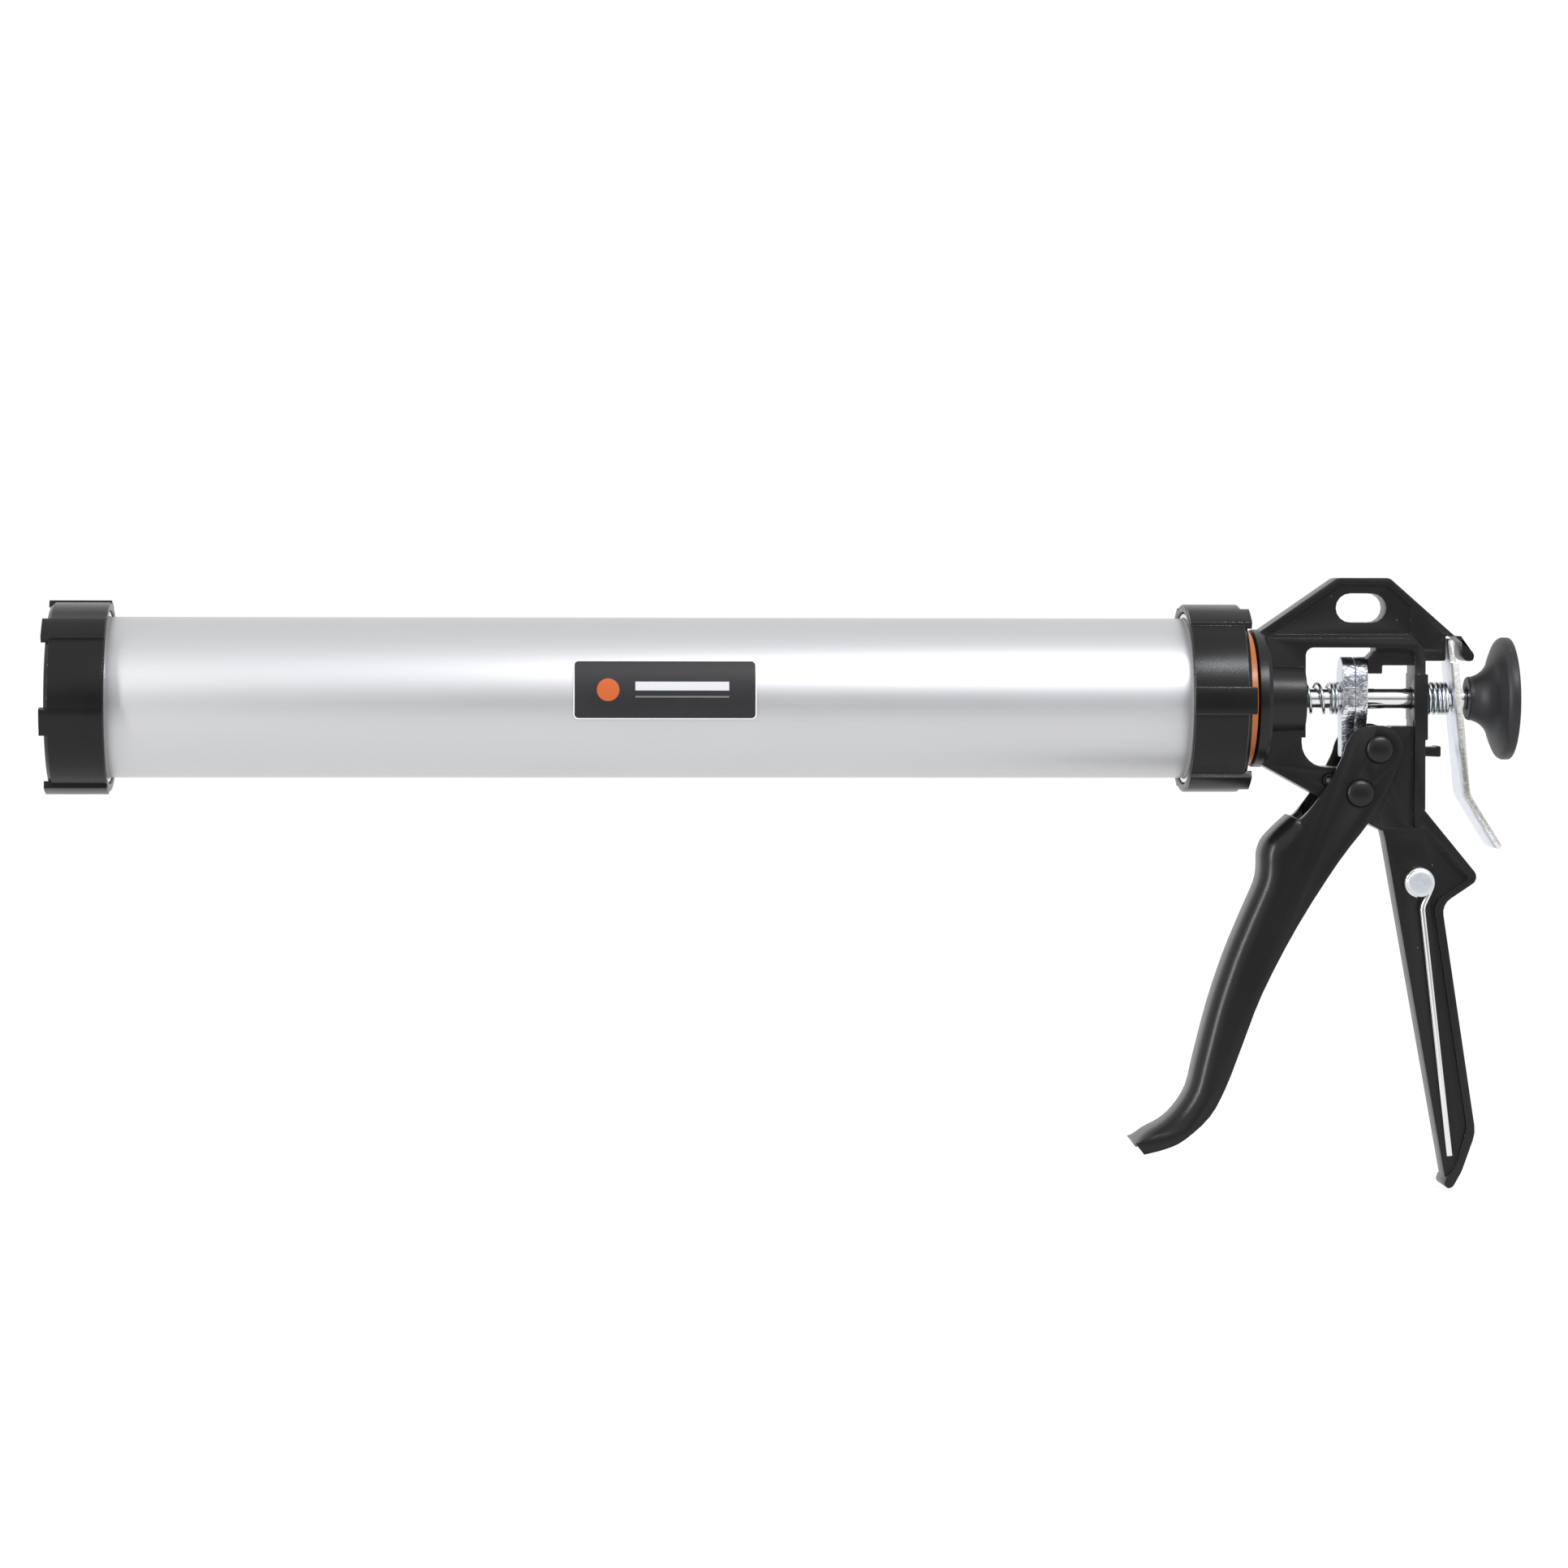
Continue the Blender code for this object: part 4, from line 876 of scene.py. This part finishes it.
def rod_spring(node, wire, open_turns, closed_pitch):
    """A spring round the rod with its last turns closed up, which the joint presses towards its seat."""
    low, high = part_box(node)
    closed = wire * closed_pitch
    open_pitch = (high.x - low.x - 2 * wire - CLOSED_TURNS * closed) / open_turns
    runs = [(open_turns, open_pitch), (CLOSED_TURNS, closed)]
    spring = coil(node + "_skin", low.x + wire, ROD_RADIUS + SPRING_PLAY + wire, wire, runs)
    fit(spring, "frame", "spring_wire", SPRING_STEEL, node)
    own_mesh(spring)


drive_plate("drive_plate_front")
drive_plate("drive_plate_rear")
release_plate()
rod_spring("drive_spring", 0.0005, 3, 2.5)
rod_spring("release_spring", 0.00055, 2.5, 2.2)

# ---------------------------------------------------------------- foil piercer

PIERCER_WIRE = 0.00095
LOOP = 0.0041
LOOP_CENTRE = (-0.0309, -0.0598)
LOOP_START = math.radians(258)
KNEE = (-0.0301, -0.0679)
KNEE_BEND = 0.005
WIRE_END = (-0.0209, -0.1487)
RIVET_SHANK = LOOP - PIERCER_WIRE - 0.0003
RIVET_HEAD = 0.0045
RIVET_TAIL = 0.0040


def foil_piercer():
    low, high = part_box("foil_piercer")
    y = (low.y + high.y) / 2
    loop = (LOOP_CENTRE, LOOP, LOOP_START)
    piercer = bent_wire("piercer_skin", PIERCER_WIRE, y, *loop, KNEE, KNEE_BEND, WIRE_END)
    fit(piercer, "foil_piercer", "bright_steel", PIERCER_STEEL, "foil_piercer")


def piercer_rivet():
    """A flat-headed rivet with an eased head, and its low clinched tail on the far side."""
    low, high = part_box("piercer_rivet")
    middle = Vector((LOOP_CENTRE[0], 0, LOOP_CENTRE[1]))
    section = [
        (low.y, 0.0006, 0),
        (low.y + 0.00012, RIVET_HEAD - 0.0010, 0.0004),
        (low.y + 0.0004, RIVET_HEAD, 0.0003),
        (low.y + 0.0012, RIVET_HEAD, 0.0001),
        (low.y + 0.0012, RIVET_SHANK, 0),
        (high.y - 0.0010, RIVET_SHANK, 0),
        (high.y - 0.0010, RIVET_TAIL, 0),
        (high.y - 0.0004, RIVET_TAIL, 0.0003),
        (high.y, RIVET_TAIL - 0.0006, 0.0003),
        (high.y, 0.0006, 0),
    ]
    rivet = lathe("piercer_rivet_skin", eased(section), sides=72, turn=(0, 0, QUARTER), at=middle)
    fit(rivet, "frame", "zinc_plate", ZINC_RIVET, "piercer_rivet")


foil_piercer()
piercer_rivet()

# ---------------------------------------------------------------- floor, light and camera

SEEN_WHITE = 1.02
ROUND_WHITE = 1.0
DARK_LEVEL = 0.24
DARK_MIDDLE = (0.04, -0.17)
DARK_REACH = (0.60, 0.38)


def studio_white():
    """White all round, plain to the lens, and less bright in an oval behind the camera."""
    world = bpy.data.worlds.new("studio")
    world.use_nodes = True
    bpy.context.scene.world = world
    world.node_tree.nodes.clear()
    studio = Wiring(world.node_tree)
    way = studio.node("ShaderNodeTexCoord", output="Generated")
    x, y, z = studio.axes(way)
    across = (x - DARK_MIDDLE[0]) / DARK_REACH[0]
    up = (z - DARK_MIDDLE[1]) / DARK_REACH[1]
    oval = 1 - (across * across + up * up).root().above(0.95, 0.30)
    behind_lens = oval * (1 - y.above(0, 0.05))
    level = ROUND_WHITE - behind_lens * (ROUND_WHITE - DARK_LEVEL)
    lit = studio.node("ShaderNodeBackground", {}, {"Strength": level})
    seen = studio.node("ShaderNodeBackground", {}, {"Strength": SEEN_WHITE})
    to_lens = studio.node("ShaderNodeLightPath", output="Is Camera Ray")
    for background in (lit, seen):
        studio.fill(background.socket.node.inputs["Color"], (1.0, 1.0, 1.0))
    both = studio.node("ShaderNodeMixShader", {}, (to_lens, lit, seen))
    studio.node("ShaderNodeOutputWorld", {}, (both,), output=None)


def white_floor():
    deselect()
    near_edge = -0.6
    width = 12
    middle = (-0.25, near_edge + width / 2, cad_low.z - 0.001)
    bpy.ops.mesh.primitive_plane_add(size=width, location=middle)
    floor = bpy.context.object
    floor.name = "studio_floor"
    sheet = bpy.data.materials.new("floor_white")
    sheet.use_nodes = True
    shader = sheet.node_tree.nodes["Principled BSDF"]
    shader.inputs["Base Color"].default_value = (0.15, 0.15, 0.15, 1)
    shader.inputs["Roughness"].default_value = 0.9
    shader.inputs["Specular IOR Level"].default_value = 0.0
    shader.inputs["Emission Color"].default_value = (1, 1, 1, 1)
    shader.inputs["Emission Strength"].default_value = 0.87
    floor.data.materials.append(sheet)


def soft_box(name, at, target, size, power, colour=(1, 1, 1)):
    """A rectangular area light turned to its target."""
    light = bpy.data.lights.new(name, "AREA")
    light.shape = "RECTANGLE"
    light.size, light.size_y = size
    light.energy = power
    light.color = colour
    lamp = bpy.data.objects.new(name, light)
    bpy.context.scene.collection.objects.link(lamp)
    lamp.location = at
    lamp.rotation_euler = (Vector(target) - Vector(at)).to_track_quat("-Z", "Y").to_euler()


def camera():
    """Level with the barrel, a little to the left of its middle, from a metre and a half away."""
    lens = bpy.data.cameras.new("product_lens")
    lens.lens = 108.09
    lens.sensor_width = 36
    lens.shift_x = 0.0390
    lens.shift_y = -0.1345
    lens.clip_start = 0.05
    lens.clip_end = 50
    azimuth = math.radians(2.5148)
    elevation = math.radians(0.0596)
    roll = math.radians(0.1265)
    distance = 1.53146
    level = math.cos(elevation)
    back = Vector((-math.sin(azimuth) * level, -math.cos(azimuth) * level, math.sin(elevation)))
    obj = bpy.data.objects.new("product_camera", lens)
    bpy.context.scene.collection.objects.link(obj)
    turn = (-back).to_track_quat("-Z", "Y").to_matrix() @ Matrix.Rotation(roll, 3, "Z")
    obj.location = Vector((-0.25796, 0, 0.04053)) + back * distance
    obj.rotation_euler = turn.to_euler()
    bpy.context.scene.camera = obj


COOL = (0.93, 0.95, 1.0)
studio_white()
white_floor()
soft_box("key_box", (0.14, -0.72, 0.66), (-0.03, 0, 0), (0.54, 0.10), 6.5, COOL)
soft_box("left_strip", (-1.30, -0.70, 0.10), (-0.09, 0, -0.08), (0.15, 1.2), 14)
camera()
bpy.context.scene.view_settings.view_transform = "Standard"
